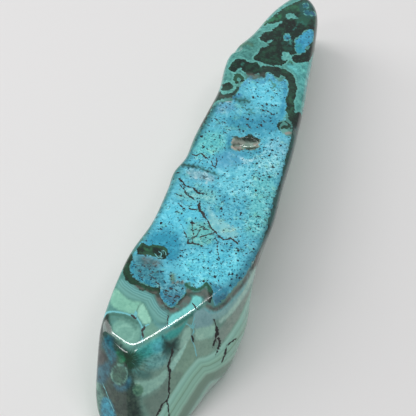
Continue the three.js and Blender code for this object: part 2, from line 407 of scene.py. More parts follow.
LOBE_RIM = [(157, 291), (158.5, 296), (162, 302), (167, 307), (172, 309), (178, 304), (184, 298),
    (188, 293)]
DARK_STROKES = {
    "left rim": (3.4, LEFT_RIM),
    "lobe rim": (1.4, LOBE_RIM),
    "shelf": (1.7, [(186, 285), (190, 287.5), (196, 290), (202, 287.5), (206, 284.5), (209.5, 287),
        (211, 292)]),
    # Partly painted shade: the lower end of this stroke is the shade behind the mint block.
    "shelf, right, with painted shade": (2.4, [(209.5, 290), (210.5, 296), (209.5, 301.5)]),
    "chip": (0.9, [(279.5, 130.5), (278.5, 126), (281, 122.5), (285, 121.5), (288.5, 124), (290.5, 128),
        (293, 131)]),
    "chip, inside": (0.8, [(282, 127), (285, 125.5), (287, 128)]),
}
MINT_GAPS = {
    "spot": [(285.5, 16.5), (287, 14.5), (290.5, 13.5), (294.5, 15), (297.5, 18.5), (294, 19),
        (289, 18.5)],
    "eye of the ring": oval((239.2, 79), (1.8, 1.8)),
}

# The open pit shows the raw stone.
PIT_MOUTH = [(231.5, 139), (233, 136.8), (235, 136.5), (238, 137.3), (242.7, 136.8), (246.4, 135.6),
    (250, 135.2), (254.5, 136), (258.6, 138.6), (260.5, 141), (259.5, 146), (256.4, 149.5), (251, 150.5),
    (245.5, 149.5), (240, 151), (234.5, 150.5), (231.8, 149), (231.2, 144)]

pit_depth = inside_by(PIT_MOUTH)
lens_depth = deepest(TIP_LENSES)
blue_depth = np.minimum(np.maximum(deepest(CHRYSOCOLLA), lens_depth), -pit_depth)
dark_depth = np.maximum(deepest(DARK_MALACHITE), beside(DARK_STROKES)[2])
dark_depth = np.minimum(dark_depth, -np.maximum(lens_depth, deepest(MINT_GAPS)))

# Tints of the chrysocolla field, with painted light among them: a painted sheen on the ledge, a painted
# reflection streak below the pit, and painted shade along the ledge.
FIELD_TINTS = {
    "tip lens": ("#43aed2", 3, None, [(292, 56), (296, 36), (306, 26), (318, 28), (314, 44), (302, 58)]),
    "tip lens, deep": ("#2e9db2", 2, None, [(294, 55), (294, 44), (300, 44), (304, 50), (303, 55)]),
    "tip dot": ("#3f9fb4", 2, None, oval((287, 38), (6, 6))),
    "tip dot, middle": ("#173f4a", 0.7, None, oval((287.6, 38.2), (1.5, 1.4))),
    "tip corner": ("#226f80", 2, None, [(298, 2), (316, 2), (320, 20), (300, 18)]),
    "tip corner, edge": ("#3a6a94", 1.5, 1.5, [(312, 11), (315, 15)]),
    "bright top": ("#6cd6ec", 5, None, [(250, 84), (276, 84), (280, 102), (264, 106), (252, 98)]),
    "top rim": ("#4aa0c4", 1.6, 0.9, [(240, 88), (245, 83), (251, 78), (257, 81), (264, 82), (269, 76),
        (275, 80), (283, 82), (286, 86)]),
    "right rim": ("#3a9fc0", 2.5, 2.0, [(285, 86), (285, 96), (283, 106), (282, 116)]),
    "deep spot": ("#3088ae", 1.5, None, [(231, 95), (240, 94), (242, 98), (236, 101), (231, 99)]),
    "haze at the left edge": ("#8f9f98", 2, 1.5, [(220, 101), (225, 100.5), (230, 101)]),
    "green haze": ("#3f9098", 2.5, None, [(236, 98), (243, 97), (250, 100), (248, 104), (239, 104)]),
    "green squiggle": ("#1f5a50", 1, 0.9, [(235, 99), (240, 101), (245, 100), (249, 102.5)]),
    "green squiggle, low": ("#2f7264", 1, 0.7, [(243, 107), (247, 110), (252, 109)]),
    "green squiggle, lowest": ("#3a7a64", 1, 0.7, [(247, 114), (251, 112.5), (255, 114)]),
    "pale upper left": ("#68b4d0", 3, None, [(216, 104), (230, 103), (236, 108), (224, 113), (214, 112)]),
    "olive squiggle": ("#4d8a68", 1, 0.8, [(270, 80), (272, 83), (275, 85), (273, 88)]),
    "deep above the pit": ("#3fa2bd", 6, None, [(226, 118), (250, 116), (277, 114), (276, 132),
        (240, 132)]),
    "left of the pit": ("#6acfd2", 5, None, [(200, 136), (222, 132), (224, 150), (206, 156), (194, 152)]),
    "by the upper left edge": ("#2c7c82", 4, 2.5, [(217, 104), (204, 127), (192, 149), (186, 160)]),
    "upper left edge": ("#123e3a", 1.6, 1.7, [(214.5, 103), (201.5, 127), (189, 149), (181, 163)]),
    "right of the pit": ("#7acadc", 4, None, [(268, 140), (288, 142), (284, 158), (268, 154)]),
    "round the pit": ("#3ea0ba", 2.5, 2, [(230, 136), (229, 144), (231, 152), (240, 154), (250, 153),
        (259, 152)]),
    "below the pit": ("#57aecb", 5, None, [(222, 152), (242, 154), (240, 166), (226, 170), (214, 164)]),
    # Painted reflection: the pale streaks below the pit are a sheen laid into the colour.
    "painted reflection streak": ("#a9e2ea", 1.8, 1.0, [(247, 161.4), (252, 160.5), (257, 157.7), (262, 155),
        (266, 152)]),
    "painted reflection streak, low": ("#a0deea", 1.6, 0.8, [(242, 158.6), (245, 162), (249, 165)]),
    "pale right": ("#8adde8", 6, None, [(258, 158), (278, 154), (280, 172), (260, 176)]),
    # Painted sheen: the lavender patch on the ledge and its pale streaks stand for a reflection on its
    # slope.
    "ledge": ("#80bac8", 2.5, None, [(188, 170), (200, 171), (214, 176), (213, 182), (200, 180),
        (189, 176)]),
    "ledge, painted sheen": ("#a8d8e0", 1.5, 1.2, [(204, 173), (208, 178), (207, 182)]),
    "ledge, painted sheen left": ("#9ed0d8", 1.5, 0.9, [(194, 171), (196, 175), (195, 178)]),
    "shade of the ledge": ("#1f5648", 1.6, 1.1, [(178, 164), (187, 165), (193, 166), (198, 167),
        (203, 169), (207, 170.8), (211, 172), (215.5, 174), (221, 176.5)]),
    "shade of the ledge, thick": ("#1c4a42", 2, 1.6, [(181, 165), (188, 165.7), (195, 167)]),
    "middle": ("#76d6e6", 7, None, [(222, 172), (262, 170), (266, 196), (226, 194)]),
    "left middle": ("#74c8cc", 5, None, [(180, 190), (212, 190), (214, 202), (182, 202)]),
    "left bright": ("#62d0e6", 6, None, [(168, 206), (200, 204), (196, 230), (160, 232)]),
    "pale island": ("#88d0d6", 2, None, [(207, 208), (210, 207), (215, 216), (225, 222), (235, 229),
        (239, 234), (235, 238), (227, 238), (219, 234), (213, 228), (209, 220)]),
    "net": ("#6cc6c4", 4, None, [(189, 223), (211, 224), (212, 242), (190, 244)]),
    "right": ("#72d0d5", 7, None, [(254, 182), (276, 180), (266, 232), (246, 232)]),
    "deep left": ("#2f9dba", 6, None, [(146, 242), (152, 232), (172, 230), (182, 244), (172, 262),
        (150, 250)]),
    "by the left edge": ("#3f8a8c", 3.5, 2.2, [(180, 170), (168, 193), (156, 216), (144, 238)]),
    "left edge": ("#275a54", 1.4, 0.9, [(177, 168), (165, 192), (153, 216), (139, 240)]),
    "low": ("#6cdaec", 7, None, [(184, 256), (236, 252), (236, 280), (190, 282)]),
    "by the right edge": ("#3c858d", 3, 3.0, [(292, 142), (290, 154), (283, 179), (272, 213), (261, 244),
        (250, 266)]),
    "low right": ("#3a92a8", 4, None, [(252, 252), (256, 256), (246, 276), (232, 288), (226, 286),
        (240, 270)]),
    "low corner": ("#3d99b4", 3, None, [(206, 284), (222, 286), (228, 292), (214, 298), (211, 290)]),
    "wedge": ("#3a7c94", 1.5, None, [(213, 297), (221, 295), (229, 292), (224, 301), (216, 306)]),
    "left lobe": ("#4898a6", 4, None, [(128, 256), (138, 255), (150, 264), (162, 272), (164, 286),
        (146, 286), (132, 276)]),
    "left lobe, rim": ("#2f98b2", 2, 1.4, [(133, 262), (132, 270), (137, 277), (146, 282), (156, 287)]),
    "right lobe": ("#66b2c0", 3, None, [(160, 284), (186, 284), (184, 296), (171, 308), (160, 296)]),
    "right lobe, low": ("#4a8a9e", 4, None, [(162, 294), (182, 294), (172, 306)]),
    "right lobe, rim": ("#339cba", 1.5, 1.2, [(161, 291), (163, 298), (169, 304), (174, 304)]),
    "olive between the lobes": ("#66907e", 2, None, [(170, 274), (174, 273), (175, 280), (171, 281)]),
    "brown between the lobes": ("#6c6a5c", 1.5, 1.2, [(173, 283), (179, 282), (184, 283)]),
}
field_colour = painted("#62c4d8", FIELD_TINTS)

# Tints of the dark malachite.
VELVET_TINTS = {
    "cap": ("#1a4433", 4, None, [(262, 24), (290, 3), (305, -2), (320, 8), (322, 24), (300, 17),
        (284, 20)]),
    "cap, low streak": ("#2a8058", 1.5, 1.3, [(265, 23), (273, 19.5), (280, 16.5)]),
    "cap, high streak": ("#2b6e4c", 1.5, 1.2, [(286, 9), (291, 7.5), (296, 7), (299, 11)]),
    "cap, core": ("#0c1813", 3, None, [(287, 21), (298, 19), (300, 26), (290, 28)]),
    "cap, teal": ("#1c5c58", 2, None, [(299, 4), (313, 1), (319, 14), (306, 18)]),
    "cap, right": ("#1d4c3c", 3, 2.5, [(316, 20), (317, 32), (314, 44)]),
    "cap, teal smudge": ("#3f9288", 1.2, 0.9, [(287, 44.5), (290, 43), (291.5, 40.5)]),
    "cap, teal dot": ("#35867c", 1, 0.8, [(293.5, 29), (295, 28.6)]),
    "cap, green right": ("#215c4a", 3, None, [(297, 15), (306, 17), (312, 22), (304, 25), (297, 22)]),
    "cap, high dots": ("#2f7a6c", 1.2, 0.8, [(298, 23.5), (302, 22.5), (305, 24.5)]),
    "cap, right dot": ("#35867c", 1, 0.8, [(314.5, 25), (315.5, 26)]),
    "cap, inner green": ("#1a4c38", 2, 1.5, [(275, 32), (281, 28), (284, 33)]),
    "cap, inner teal": ("#1c5448", 1.8, 1.2, [(283, 42), (286, 48), (291, 49)]),
    "block, green": ("#1c4c38", 2.2, 1.5, [(262, 57), (267, 51), (274, 48)]),
    "block, low green": ("#1f5440", 1.6, 1.0, [(266, 60), (273, 61), (280, 62.5)]),
    "lobe, middle green": ("#1c4a38", 1.8, 1.2, [(247, 68), (253, 66), (257, 69)]),
    "lobe gap, left": ("#3f9080", 0.9, 0.7, [(243.5, 62), (242, 65)]),
    "lobe gap, right": ("#3c8a7a", 1, 0.8, [(260.5, 66.5), (261.5, 69)]),
    "lobe dot": ("#3c8a7a", 1, 0.8, [(269, 68), (270, 69)]),
    "ring": ("#28553f", 1, None, oval((239.3, 79), (6.5, 6.5))),
    "lobe, right": ("#20382f", 3, None, [(262, 66), (279, 67), (278, 78), (262, 77)]),
    "left edge": ("#24443a", 3, None, [(214, 92), (240, 84), (238, 96), (214, 112)]),
    "right band": ("#1d3a2c", 3, 4.0, [(287, 72), (292, 84), (290, 100), (290, 116)]),
    "right band, green": ("#2f5f48", 2, 1.5, [(290, 98), (291, 106), (289, 112)]),
    # Partly painted shade: the right border is darkened where the right flank lies in shade.
    "right border with painted flank shade": ("#2f5a58", 4, 6.0, [(297, 134), (293, 160), (282, 190), (272, 222), (262, 250)]),
    "patch, rim": ("#2d6244", 1.5, 1.2, [(137, 247), (143, 243.5), (150, 246), (160, 246), (168, 252)]),
    "patch, foot": ("#2a5a40", 1.5, 1.4, [(139, 254), (148, 254), (157, 257)]),
    "patch, green": ("#2f6c4a", 1.2, 1.0, [(145, 248), (148, 250.5), (152, 249)]),
    "left rim": ("#14402a", 2, 3.0, LEFT_RIM),
    "shelf": ("#22604a", 3, None, [(184, 281), (206, 281), (213, 292), (206, 300), (186, 294)]),
    "shelf, shade": ("#14211b", 1.5, 1.8, [(208, 296), (210, 301)]),
}
velvet_colour = painted("#0a241a", VELVET_TINTS)

# Grounds of malachite and host rock: mint round the tip, mint cells and a pale round cell on the near top,
# and panels, eyes and smudges on the blunt end. The darkest green of the hollow is partly painted shade,
# and the shade tints of the pit are painted shade.
GROUND_TINTS = {
    "tip": ("#56a097", 4, None, [(205, 118), (224, 60), (246, 28), (290, -8), (330, -4), (326, 60),
        (306, 130), (290, 108), (280, 70), (240, 80)]),
    "tip, left": ("#4e9c90", 4, None, [(246, 36), (258, 34), (256, 46), (246, 48)]),
    "tip, olive": ("#4f8068", 2, 1.5, [(240, 46), (247, 43), (252, 45)]),
    "tip, streak": ("#5fb2aa", 1.5, 1.5, [(262, 29), (270, 27), (279, 23)]),
    "tip, right": ("#64c2bd", 4, None, [(292, 66), (312, 62), (308, 104), (297, 104), (298, 84)]),
    "tip, bright": ("#66c8c8", 2, 1.8, [(289, 66), (293, 68), (297, 71)]),
    "tip, gap": ("#6bbdb5", 1.2, None, [(281, 51), (285, 53), (293, 53), (293, 61), (288, 62),
        (282, 60)]),
    "tip, olive specks": ("#3c7a55", 0.8, 0.8, [(287, 61), (290, 62), (293, 63)]),
    "right edge, low": ("#5ab0a8", 3, None, [(295, 96), (306, 94), (305, 114), (296, 113)]),
    "left edge": ("#3f7d78", 3, 3.5, [(216, 92), (204, 118), (190, 144), (176, 168), (165, 194),
        (152, 218), (140, 240), (130, 254)]),
    "near top": ("#5c968d", 4, None, [(126, 276), (140, 290), (160, 304), (172, 314), (200, 300),
        (214, 308), (170, 336), (130, 350), (108, 336), (104, 316), (112, 292)]),
    "near top, left": ("#4a8c80", 3, None, [(117, 278), (124, 278), (130, 288), (120, 290), (114, 288)]),
    "mint cell, left": ("#88c8b0", 1, None, [(111, 299), (115, 289), (119, 291), (123, 295), (128, 299),
        (134, 301), (141, 301.5), (139, 306), (136.5, 311), (133, 314), (125, 312), (117, 309),
        (111, 304)]),
    "mint cell, right": ("#9edac2", 1, None, [(140, 305), (143, 303.5), (146, 307), (149, 314),
        (151, 319), (150, 323), (144, 324), (141, 320), (137.5, 314)]),
    "line between the cells": ("#5f8f7c", 0.7, 0.4, [(143, 303), (139, 306), (136.5, 312)]),
    "line right of the cells": ("#55887a", 0.7, 0.4, [(144, 304), (148, 312), (152, 320), (156, 323)]),
    "line over the cells": ("#6a9c8c", 0.7, 0.4, [(123, 294), (130, 299.5), (137, 301), (143, 302)]),
    "round cell": ("#7bb3a2", 2, None, oval((125, 333), (15.5, 14))),
    "round cell, ring": ("#8cc4b2", 1.2, 0.8, oval((125, 333), (9, 8))),
    "crescent": ("#4a7c6e", 1.2, 1.6, [(106, 317), (112, 314.5), (122, 315.5), (130, 318.5), (137, 323)]),
    "crescent, low": ("#5d9184", 1.5, 1.4, [(111, 319), (121, 319), (131, 323), (136, 328)]),
    "dark left of the cell": ("#0f2a1e", 2.2, 3.2, [(106, 316), (107, 323), (109, 331)]),
    "right of the vein": ("#74a896", 2, None, [(145, 326), (153, 323), (160, 328), (158, 338),
        (145, 343)]),
    "teal": ("#66a5a2", 3, None, [(154, 302), (166, 314), (170, 326), (160, 330), (154, 320)]),
    "dark teal": ("#4b857e", 2, None, [(157, 315), (167, 315), (167, 324), (158, 323)]),
    "mint band": ("#7cdcd8", 1.2, None, [(168, 321), (172, 315), (180, 311), (187, 306), (192, 299),
        (194, 296), (199, 296), (202, 300), (199, 306), (190, 312), (178, 319), (168, 328)]),
    "blunt end": ("#759d8f", 3, None, [(128, 352), (150, 342), (170, 330), (206, 304), (216, 312),
        (262, 250), (268, 300), (240, 360), (190, 425), (150, 440), (110, 440), (112, 370)]),
    "left face": ("#35584e", 4, None, [(88, 330), (112, 334), (128, 352), (136, 380), (138, 440),
        (80, 440)]),
    "left edge, grey": ("#47534f", 2.5, 2.5, [(103, 318), (100, 335), (98, 350), (97, 362)]),
    "teal lens": ("#3fa79f", 1.5, None, [(164.5, 336), (170, 331), (179, 327), (188, 320), (181, 332),
        (173, 339), (166, 340)]),
    "strip below the edge": ("#2b7468", 1.2, 1.5, [(175, 326), (190, 316), (201, 308)]),
    "teal below the edge": ("#3cb4ae", 4, None, [(136, 351), (146, 344), (158, 337), (165, 335),
        (164, 346), (152, 357), (141, 360)]),
    "teal, blue": ("#55bcc6", 5, None, [(152, 344), (164, 339), (164, 351), (156, 355)]),
    "fringe": ("#1f7f70", 4, None, [(132, 353), (141, 352), (144, 359), (140, 366), (133, 367)]),
    "teal, pale": ("#74b4b0", 4, None, [(146, 359), (165, 353), (167, 362), (156, 369), (147, 368)]),
    "below the fringe": ("#4f8078", 3, None, [(134, 369), (146, 371), (152, 375), (146, 379),
        (136, 376)]),
    "pale ground": ("#94c6b5", 1, None, [(134, 381), (146, 381), (158, 376), (166, 369), (167, 377),
        (160, 386), (152, 391), (143, 396), (140, 388)]),
    "smudge": ("#245f58", 4, None, [(163, 340), (170, 341), (177, 340), (176, 348), (172, 355),
        (164, 352)]),
    "smudge, core": ("#14302b", 2.2, None, [(166, 342), (171, 343), (175, 343), (174, 348), (168, 348)]),
    "smudge, arm": ("#183b35", 1.4, 0.7, [(162, 336), (165, 340), (168, 344)]),
    "smudge, right arm": ("#183b35", 1.4, 0.7, [(178, 337.5), (175, 341), (172, 345)]),
    "smudge, low arm": ("#1c443d", 1.4, 0.6, [(178.5, 349.5), (175, 348), (171, 346)]),
    "smudge, left arm": ("#1c443d", 1.4, 0.6, [(162, 355), (165, 350), (168, 346)]),
    # Partly painted shade: the darkest green of the hollow stands for the shade in it as well as its green.
    "green hollow": ("#023c20", 3.5, None, [(122, 351), (131, 351), (137, 356), (136, 366), (131, 371),
        (125, 367), (121, 358)]),
    "green hollow, left": ("#1d7a55", 2.5, None, [(116, 351), (122, 353), (124, 362), (121, 366),
        (117, 360)]),
    "blue strip": ("#1b6c7c", 2, None, [(106, 336), (102.6, 345), (106, 352.5), (108, 359), (111, 365),
        (116, 358), (115.5, 352), (112.6, 346), (113, 338)]),
    "grey blue": ("#2f6a78", 2.5, None, [(97.6, 366), (108, 362), (111, 368), (108, 378), (103, 384),
        (97, 382)]),
    "brown, left": ("#3f4745", 2, None, [(98, 351), (104, 352), (107, 358), (103, 364), (98, 364)]),
    "left foot": ("#649486", 2, 3.0, [(98, 386), (100, 396), (99, 410), (99, 425)]),
    "dark foot": ("#354a3f", 6, None, [(111, 389), (122, 391), (130, 389), (135, 398), (140, 412),
        (142, 426), (112, 426)]),
    "below the eye": ("#2f7284", 2.5, None, [(114, 384), (122, 387), (129, 377), (131, 382), (127, 389),
        (119, 391)]),
    "eye rim": ("#74ae9e", 0.8, None, oval((119.3, 374.5), (8.5, 10.2))),
    "eye": ("#3f6e5c", 0.8, None, oval((119.3, 374.5), (7.3, 8.9))),
    "small eye": ("#5f9378", 1.2, None, oval((138, 390), (5.5, 5.5))),
    "blue, foot": ("#379ab2", 2, None, [(103, 398), (109, 399), (113, 407), (115, 418), (103, 424),
        (101, 408)]),
    "grey, foot": ("#6b887b", 3, None, [(143, 401), (150, 396), (160, 389), (167, 380), (168, 392),
        (165, 402), (158, 416), (154, 424), (149, 414)]),
    "pale diagonal, right": ("#a4d9c8", 0.8, None, [(170, 368), (172, 362), (178, 353), (184, 345),
        (187, 341), (187, 346), (182, 356), (177, 364), (173, 370)]),
    "panel by the crack": ("#7ba48f", 0.8, None, [(174, 369), (180, 359), (186, 347), (190, 338),
        (195, 345), (197, 357), (192, 364), (186, 374), (181, 372)]),
    "under the panel": ("#749886", 1.2, None, [(170, 374), (180, 372), (186, 375), (180, 382), (174, 390),
        (170, 396)]),
    "panel, middle": ("#82a795", 1, None, [(196, 338), (214, 336), (217, 346), (212, 352), (204, 356),
        (198, 357)]),
    "panel, pale": ("#9dcebb", 1, None, [(196, 328), (205, 326), (214, 325), (215, 335), (205, 339),
        (196, 339)]),
    "panel, blue grey": ("#85b2b4", 1.5, None, [(194, 313), (207, 308), (213, 314), (212, 325),
        (203, 327), (195, 328)]),
    "pale beside the lens": ("#9eccbb", 1.2, None, [(184, 331), (190, 327), (191, 337), (186, 343),
        (180, 347)]),
    "grey band, right": ("#8a9f94", 2, 5.0, [(219, 338), (226, 329), (234, 318), (241, 307), (247, 296)]),
    "blue grey under the rim": ("#8fbcb9", 2, 4.5, [(216, 315), (225, 309), (234, 301), (242, 291),
        (248, 280), (253, 269), (258, 259)]),
    "line under the rim": ("#6fb9bd", 0.8, 0.7, [(205, 308.5), (211, 312.5), (218, 311.5), (226, 306),
        (232, 300), (239, 294), (245, 287), (251, 277), (257, 266)]),
    "pale stripe, right": ("#aad2c4", 1.2, 1.8, [(221, 321), (229, 314), (237, 304), (244, 293),
        (250, 281), (255, 268)]),
    "pit": ("#93a99b", 1, None, PIT_MOUTH),
    "pit, left": ("#b0b4a8", 1.2, 1.8, [(233, 141.5), (238, 142), (243, 143)]),
    "pit, left notch": ("#2c4232", 1, 1.1, [(232.5, 136), (235, 137), (238.5, 138.5)]),
    "pit, shade": ("#1f3328", 1.2, None, [(234, 135), (238, 137), (243, 137), (248, 134), (256, 135),
        (260, 140), (258, 142.5), (250, 142), (244, 141), (240, 139)]),
    "pit, line": ("#4c4f45", 0.7, 0.6, [(233, 145), (238, 144), (243, 145.5)]),
    "pit, pink": ("#b9aca2", 0.9, 1.2, [(232.5, 147.5), (236, 148), (240, 147.5)]),
    "pit, pink right": ("#b39f95", 0.9, 0.8, [(254, 144.5), (258, 145)]),
    "pit, green": ("#7f9f8c", 1, 1.2, [(243, 146.5), (248, 147), (254, 146.5)]),
    "pit, low shade": ("#3a4a3f", 0.9, 1.2, [(246, 149), (252, 148.5), (257, 147.5)]),
    "pit, brown": ("#5d5348", 0.9, 0.9, [(238, 150), (242, 150)]),
    "chip": ("#6fb5ac", 1.2, None, [(280, 129), (285, 128), (290, 131), (288, 134), (282, 134)]),
    "chip, pink": ("#a59a90", 1, 1.2, [(286, 132.5), (291, 132)]),
}
ground_colour = painted("#4f8f86", GROUND_TINTS, GROUND_WOBBLE)

# Layers of teal follow the rims of the lobes on the near top, at distances measured from the rims.
CONTOUR_AREA = [(121, 279), (128, 283), (138, 290), (150, 294), (158, 304), (167, 313), (166, 322),
    (157, 322), (150, 312), (145, 302), (136, 299.5), (127, 297), (121, 291), (117, 287)]
CONTOUR_REACH, CONTOUR_FEATHER = 20.0, 1.5
contour_at = -np.max([inside_by(rim, 0.0, CONTOUR_REACH) for rim in (LEFT_RIM, LOBE_RIM)], axis=0)
contoured = cover(CONTOUR_AREA, CONTOUR_FEATHER)

# Fibres fan out to the right from the green hollow. Every spot has a bearing and a distance from its
# middle, and a cover that leaves out the core and the left.
FAN_CENTRE, FAN_FEATHER, FAN_CORE, FAN_SIDE = (128, 359), 5, (1, 8), 0.4
FAN_AREA = [(122, 354), (128, 350), (138, 349), (150, 346), (158, 352), (156, 362), (148, 370),
    (136, 373), (127, 371), (121, 364)]
from_fan = spot - FAN_CENTRE
fan_bearing, fan_reach = np.arctan2(from_fan[:, 1], from_fan[:, 0]), np.linalg.norm(from_fan, axis=1)
fanned = cover(FAN_AREA, FAN_FEATHER) * ramp(*FAN_CORE, fan_reach)
fanned *= ramp(-FAN_SIDE, FAN_SIDE, np.cos(fan_bearing))

# Banded malachite: on the blunt end the bands run along one line, at depths measured from it. On the hidden
# sides and the underside they are wavy level layers, with rings round a few eyes, below a rind at the top.
BAND_LINE = [(140, 448), (158, 416), (166, 402), (175, 388), (184, 374), (192, 364), (198, 358),
    (206, 356), (213, 352), (219, 347), (225, 340), (231, 331), (237, 322), (242, 312), (247, 300),
    (252, 286), (256, 272), (262, 250), (300, 250), (300, 448)]
BAND_REACH, BAND_FEATHER = 40.0, 0.6

# Waves of the layers: wavelengths across, along and up, phase, and height. Then the depth of the rind, over
# what depth it fades, and how much it follows the waves.
LAYER_WAVES = ((60, 47, 300, 0.4, 2.2), (-23, 19, 40, 1.9, 1.2), (12, 9.5, 30, 3.0, 0.5))
RIND, RIND_FADE, RIND_WAVES = 3.0, 3.5, 0.35

# Eyes: centre and radius. Their rings are ovals, whole out to a share of the radius, and count on from a
# first depth by a step for each millimetre.
BAND_EYES = {
    "left": ((-1.0, 0.25, 0.4), 8.0),
    "right": ((0.9, -0.05, 0.42), 7.0),
    "under": ((0.1, 0.3, 0.0), 9.0),
    "under, near": ((-0.3, -0.45, 0.0), 7.5),
    "tip": ((0.2, 1.05, 0.45), 6.0),
}
EYE_OVAL, EYE_WHOLE, EYE_FIRST, EYE_STEP = (1, 0.8, 1.15), 0.35, 3, 0.9

face_band = inside_by(BAND_LINE, reach=BAND_REACH)
layer = stone_points[:, 2].copy()
for wave_across, wave_along, wave_up, phase, height in LAYER_WAVES:
    turns = stone_points @ (1 / wave_across, 1 / wave_along, 1 / wave_up)
    layer += height * np.sin(2 * np.pi * turns + phase)
for centre, radius in BAND_EYES.values():
    from_middle = np.linalg.norm((stone_points - at(centre)) * EYE_OVAL, axis=1)
    in_eye = 1 - ramp(EYE_WHOLE * radius, radius, from_middle)
    layer += in_eye * (EYE_STEP * from_middle + EYE_FIRST - layer)
band_at = in_view * face_band / PIXELS_PER_MM + (1 - in_view) * layer
below_top = TOP_LEVEL - stone_points[:, 2] + RIND_WAVES * (layer - stone_points[:, 2])
below_rind = (1 - in_view) * ramp(RIND, RIND + RIND_FADE, below_top)
banded = in_view * ramp(-BAND_FEATHER, BAND_FEATHER, face_band) + below_rind
hidden_fade = 1 - below_rind

# Brown host rock, as a haze along the rims: its cover, feather, half width or None, and points.
BROWN_HAZE = {
    "below the patch": (0.8, 4, None, [(140, 257), (150, 257), (160, 261), (162, 266), (154, 267),
        (143, 264)]),
    "left rim": (0.8, 1.2, 1.0, [(136, 286), (139, 287.5), (143, 289)]),
    "left rim, right": (0.8, 1.2, 1.3, [(147, 290.5), (152, 292), (157, 293)]),
    "right lobe": (0.85, 1.6, None, [(155, 294), (160, 294), (162, 301), (168, 307), (173, 309),
        (180, 302), (187, 294), (191, 296), (190, 303), (182, 309), (173, 313), (164, 311), (158, 305)]),
    "shelf": (0.85, 1.5, None, [(187, 288), (193, 291.5), (199, 291.5), (206, 288), (209, 298),
        (207, 303), (202, 297), (193, 295), (187, 294)]),
    "low right": (0.9, 1.3, 2.1, [(208, 305.5), (213, 309), (219, 308), (226, 302.5), (231, 296.5),
        (237, 290), (244, 282), (250, 272), (256, 262), (260, 254)]),
    "below the tip lobes": (0.75, 2, None, [(247, 73), (258, 74), (264, 73), (265, 77), (256, 79),
        (248, 78)]),
    "left edge": (0.6, 2, 1.5, [(221, 97), (227, 97.5), (231, 98)]),
    "left face": (0.5, 2, 2.0, [(101, 352), (102, 358), (101, 363)]),
    "left foot": (0.4, 2.5, 2.0, [(108, 380), (109, 388), (111, 396)]),
}
brown_cover = np.max(
    [most * cover(points, feather, half) for most, feather, half, points in BROWN_HAZE.values()], axis=0
)


def graded(base, areas):
    """Amount at every spot: a base amount, with areas laid over it in turn. Each has an amount, a feather
    in pixels, and its points."""
    amount = np.full(len(spot), base)
    for area_amount, feather, points in areas.values():
        amount += cover(points, feather) * (area_amount - amount)
    return amount


# How crowded the dark specks are.
SPECK_CROWDS = {
    "upper left": (0.95, 8, [(210, 118), (236, 106), (240, 126), (214, 138)]),
    "left of the pit": (1.15, 8, [(196, 146), (222, 134), (222, 166), (194, 168)]),
    "below the pit": (0.35, 5, [(222, 154), (244, 154), (236, 168), (218, 168)]),
    "right": (1.45, 10, [(250, 150), (286, 146), (268, 226), (236, 226)]),
    "middle": (1.5, 8, [(206, 190), (240, 188), (240, 222), (212, 210)]),
    "pale island": (0.1, 3, [(208, 208), (224, 222), (238, 232), (234, 237), (218, 232), (209, 220)]),
    "low": (1.3, 8, [(180, 246), (250, 236), (238, 284), (186, 280)]),
    "left lobe": (3.2, 4, [(131, 264), (152, 266), (162, 274), (162, 287), (146, 284), (133, 276)]),
    "right lobe": (3.4, 3, [(160, 284), (186, 284), (184, 296), (171, 307), (161, 297)]),
}
speck_crowd = graded(base=0.8, areas=SPECK_CROWDS)

# How grainy the ground is: smooth in the mint cells and panels, rough on the left face and at the tip.
GRAINY_AREAS = {
    "tip": (0.9, 8, [(205, 118), (224, 60), (246, 28), (290, -8), (330, -4), (326, 60), (306, 130),
        (240, 80)]),
    "left face": (1.2, 5, [(88, 330), (112, 334), (128, 352), (136, 380), (138, 440), (80, 440)]),
    "teal": (0.7, 5, [(130, 350), (166, 335), (180, 338), (172, 358), (150, 372), (130, 374)]),
}
grainy = graded(base=0.25, areas=GRAINY_AREAS)

# Pale veins and dark cracks: half width in pixels, and points.
VEINS = {
    "main": (0.8, [(101, 323), (102, 320), (104, 316), (107, 312.5), (111, 311.5), (118, 312),
        (125, 313.5), (130, 315), (133, 316.5), (137, 318), (139, 321), (141, 325), (142, 330),
        (142, 335), (142.5, 341)]),
    "side": (0.7, [(135.5, 311.5), (134.5, 315)]),
    "joint": (0.6, [(136.5, 313), (137, 318)]),
    "spur": (0.7, [(142, 328), (145, 326.5), (148, 324.5)]),
    "patch, low": (0.4, [(155.5, 254.5), (158, 257.3), (161.5, 257.8)]),
    "patch, middle": (0.35, [(159.5, 252), (161.5, 253.6), (161, 256)]),
    "patch, right": (0.35, [(163.2, 250.6), (165.6, 252.2), (166, 254.4)]),
    "blunt end": (0.6, [(194.5, 317.5), (192.6, 326), (193.9, 331), (192, 336), (192.3, 341),
        (194.5, 346), (196.4, 355)]),
    "blunt end, fork": (0.6, [(187, 324), (192, 327.5), (194, 325)]),
    "left face": (0.25, [(103, 384), (105.8, 391), (108, 397), (110.8, 403.8), (113.9, 411)]),
}
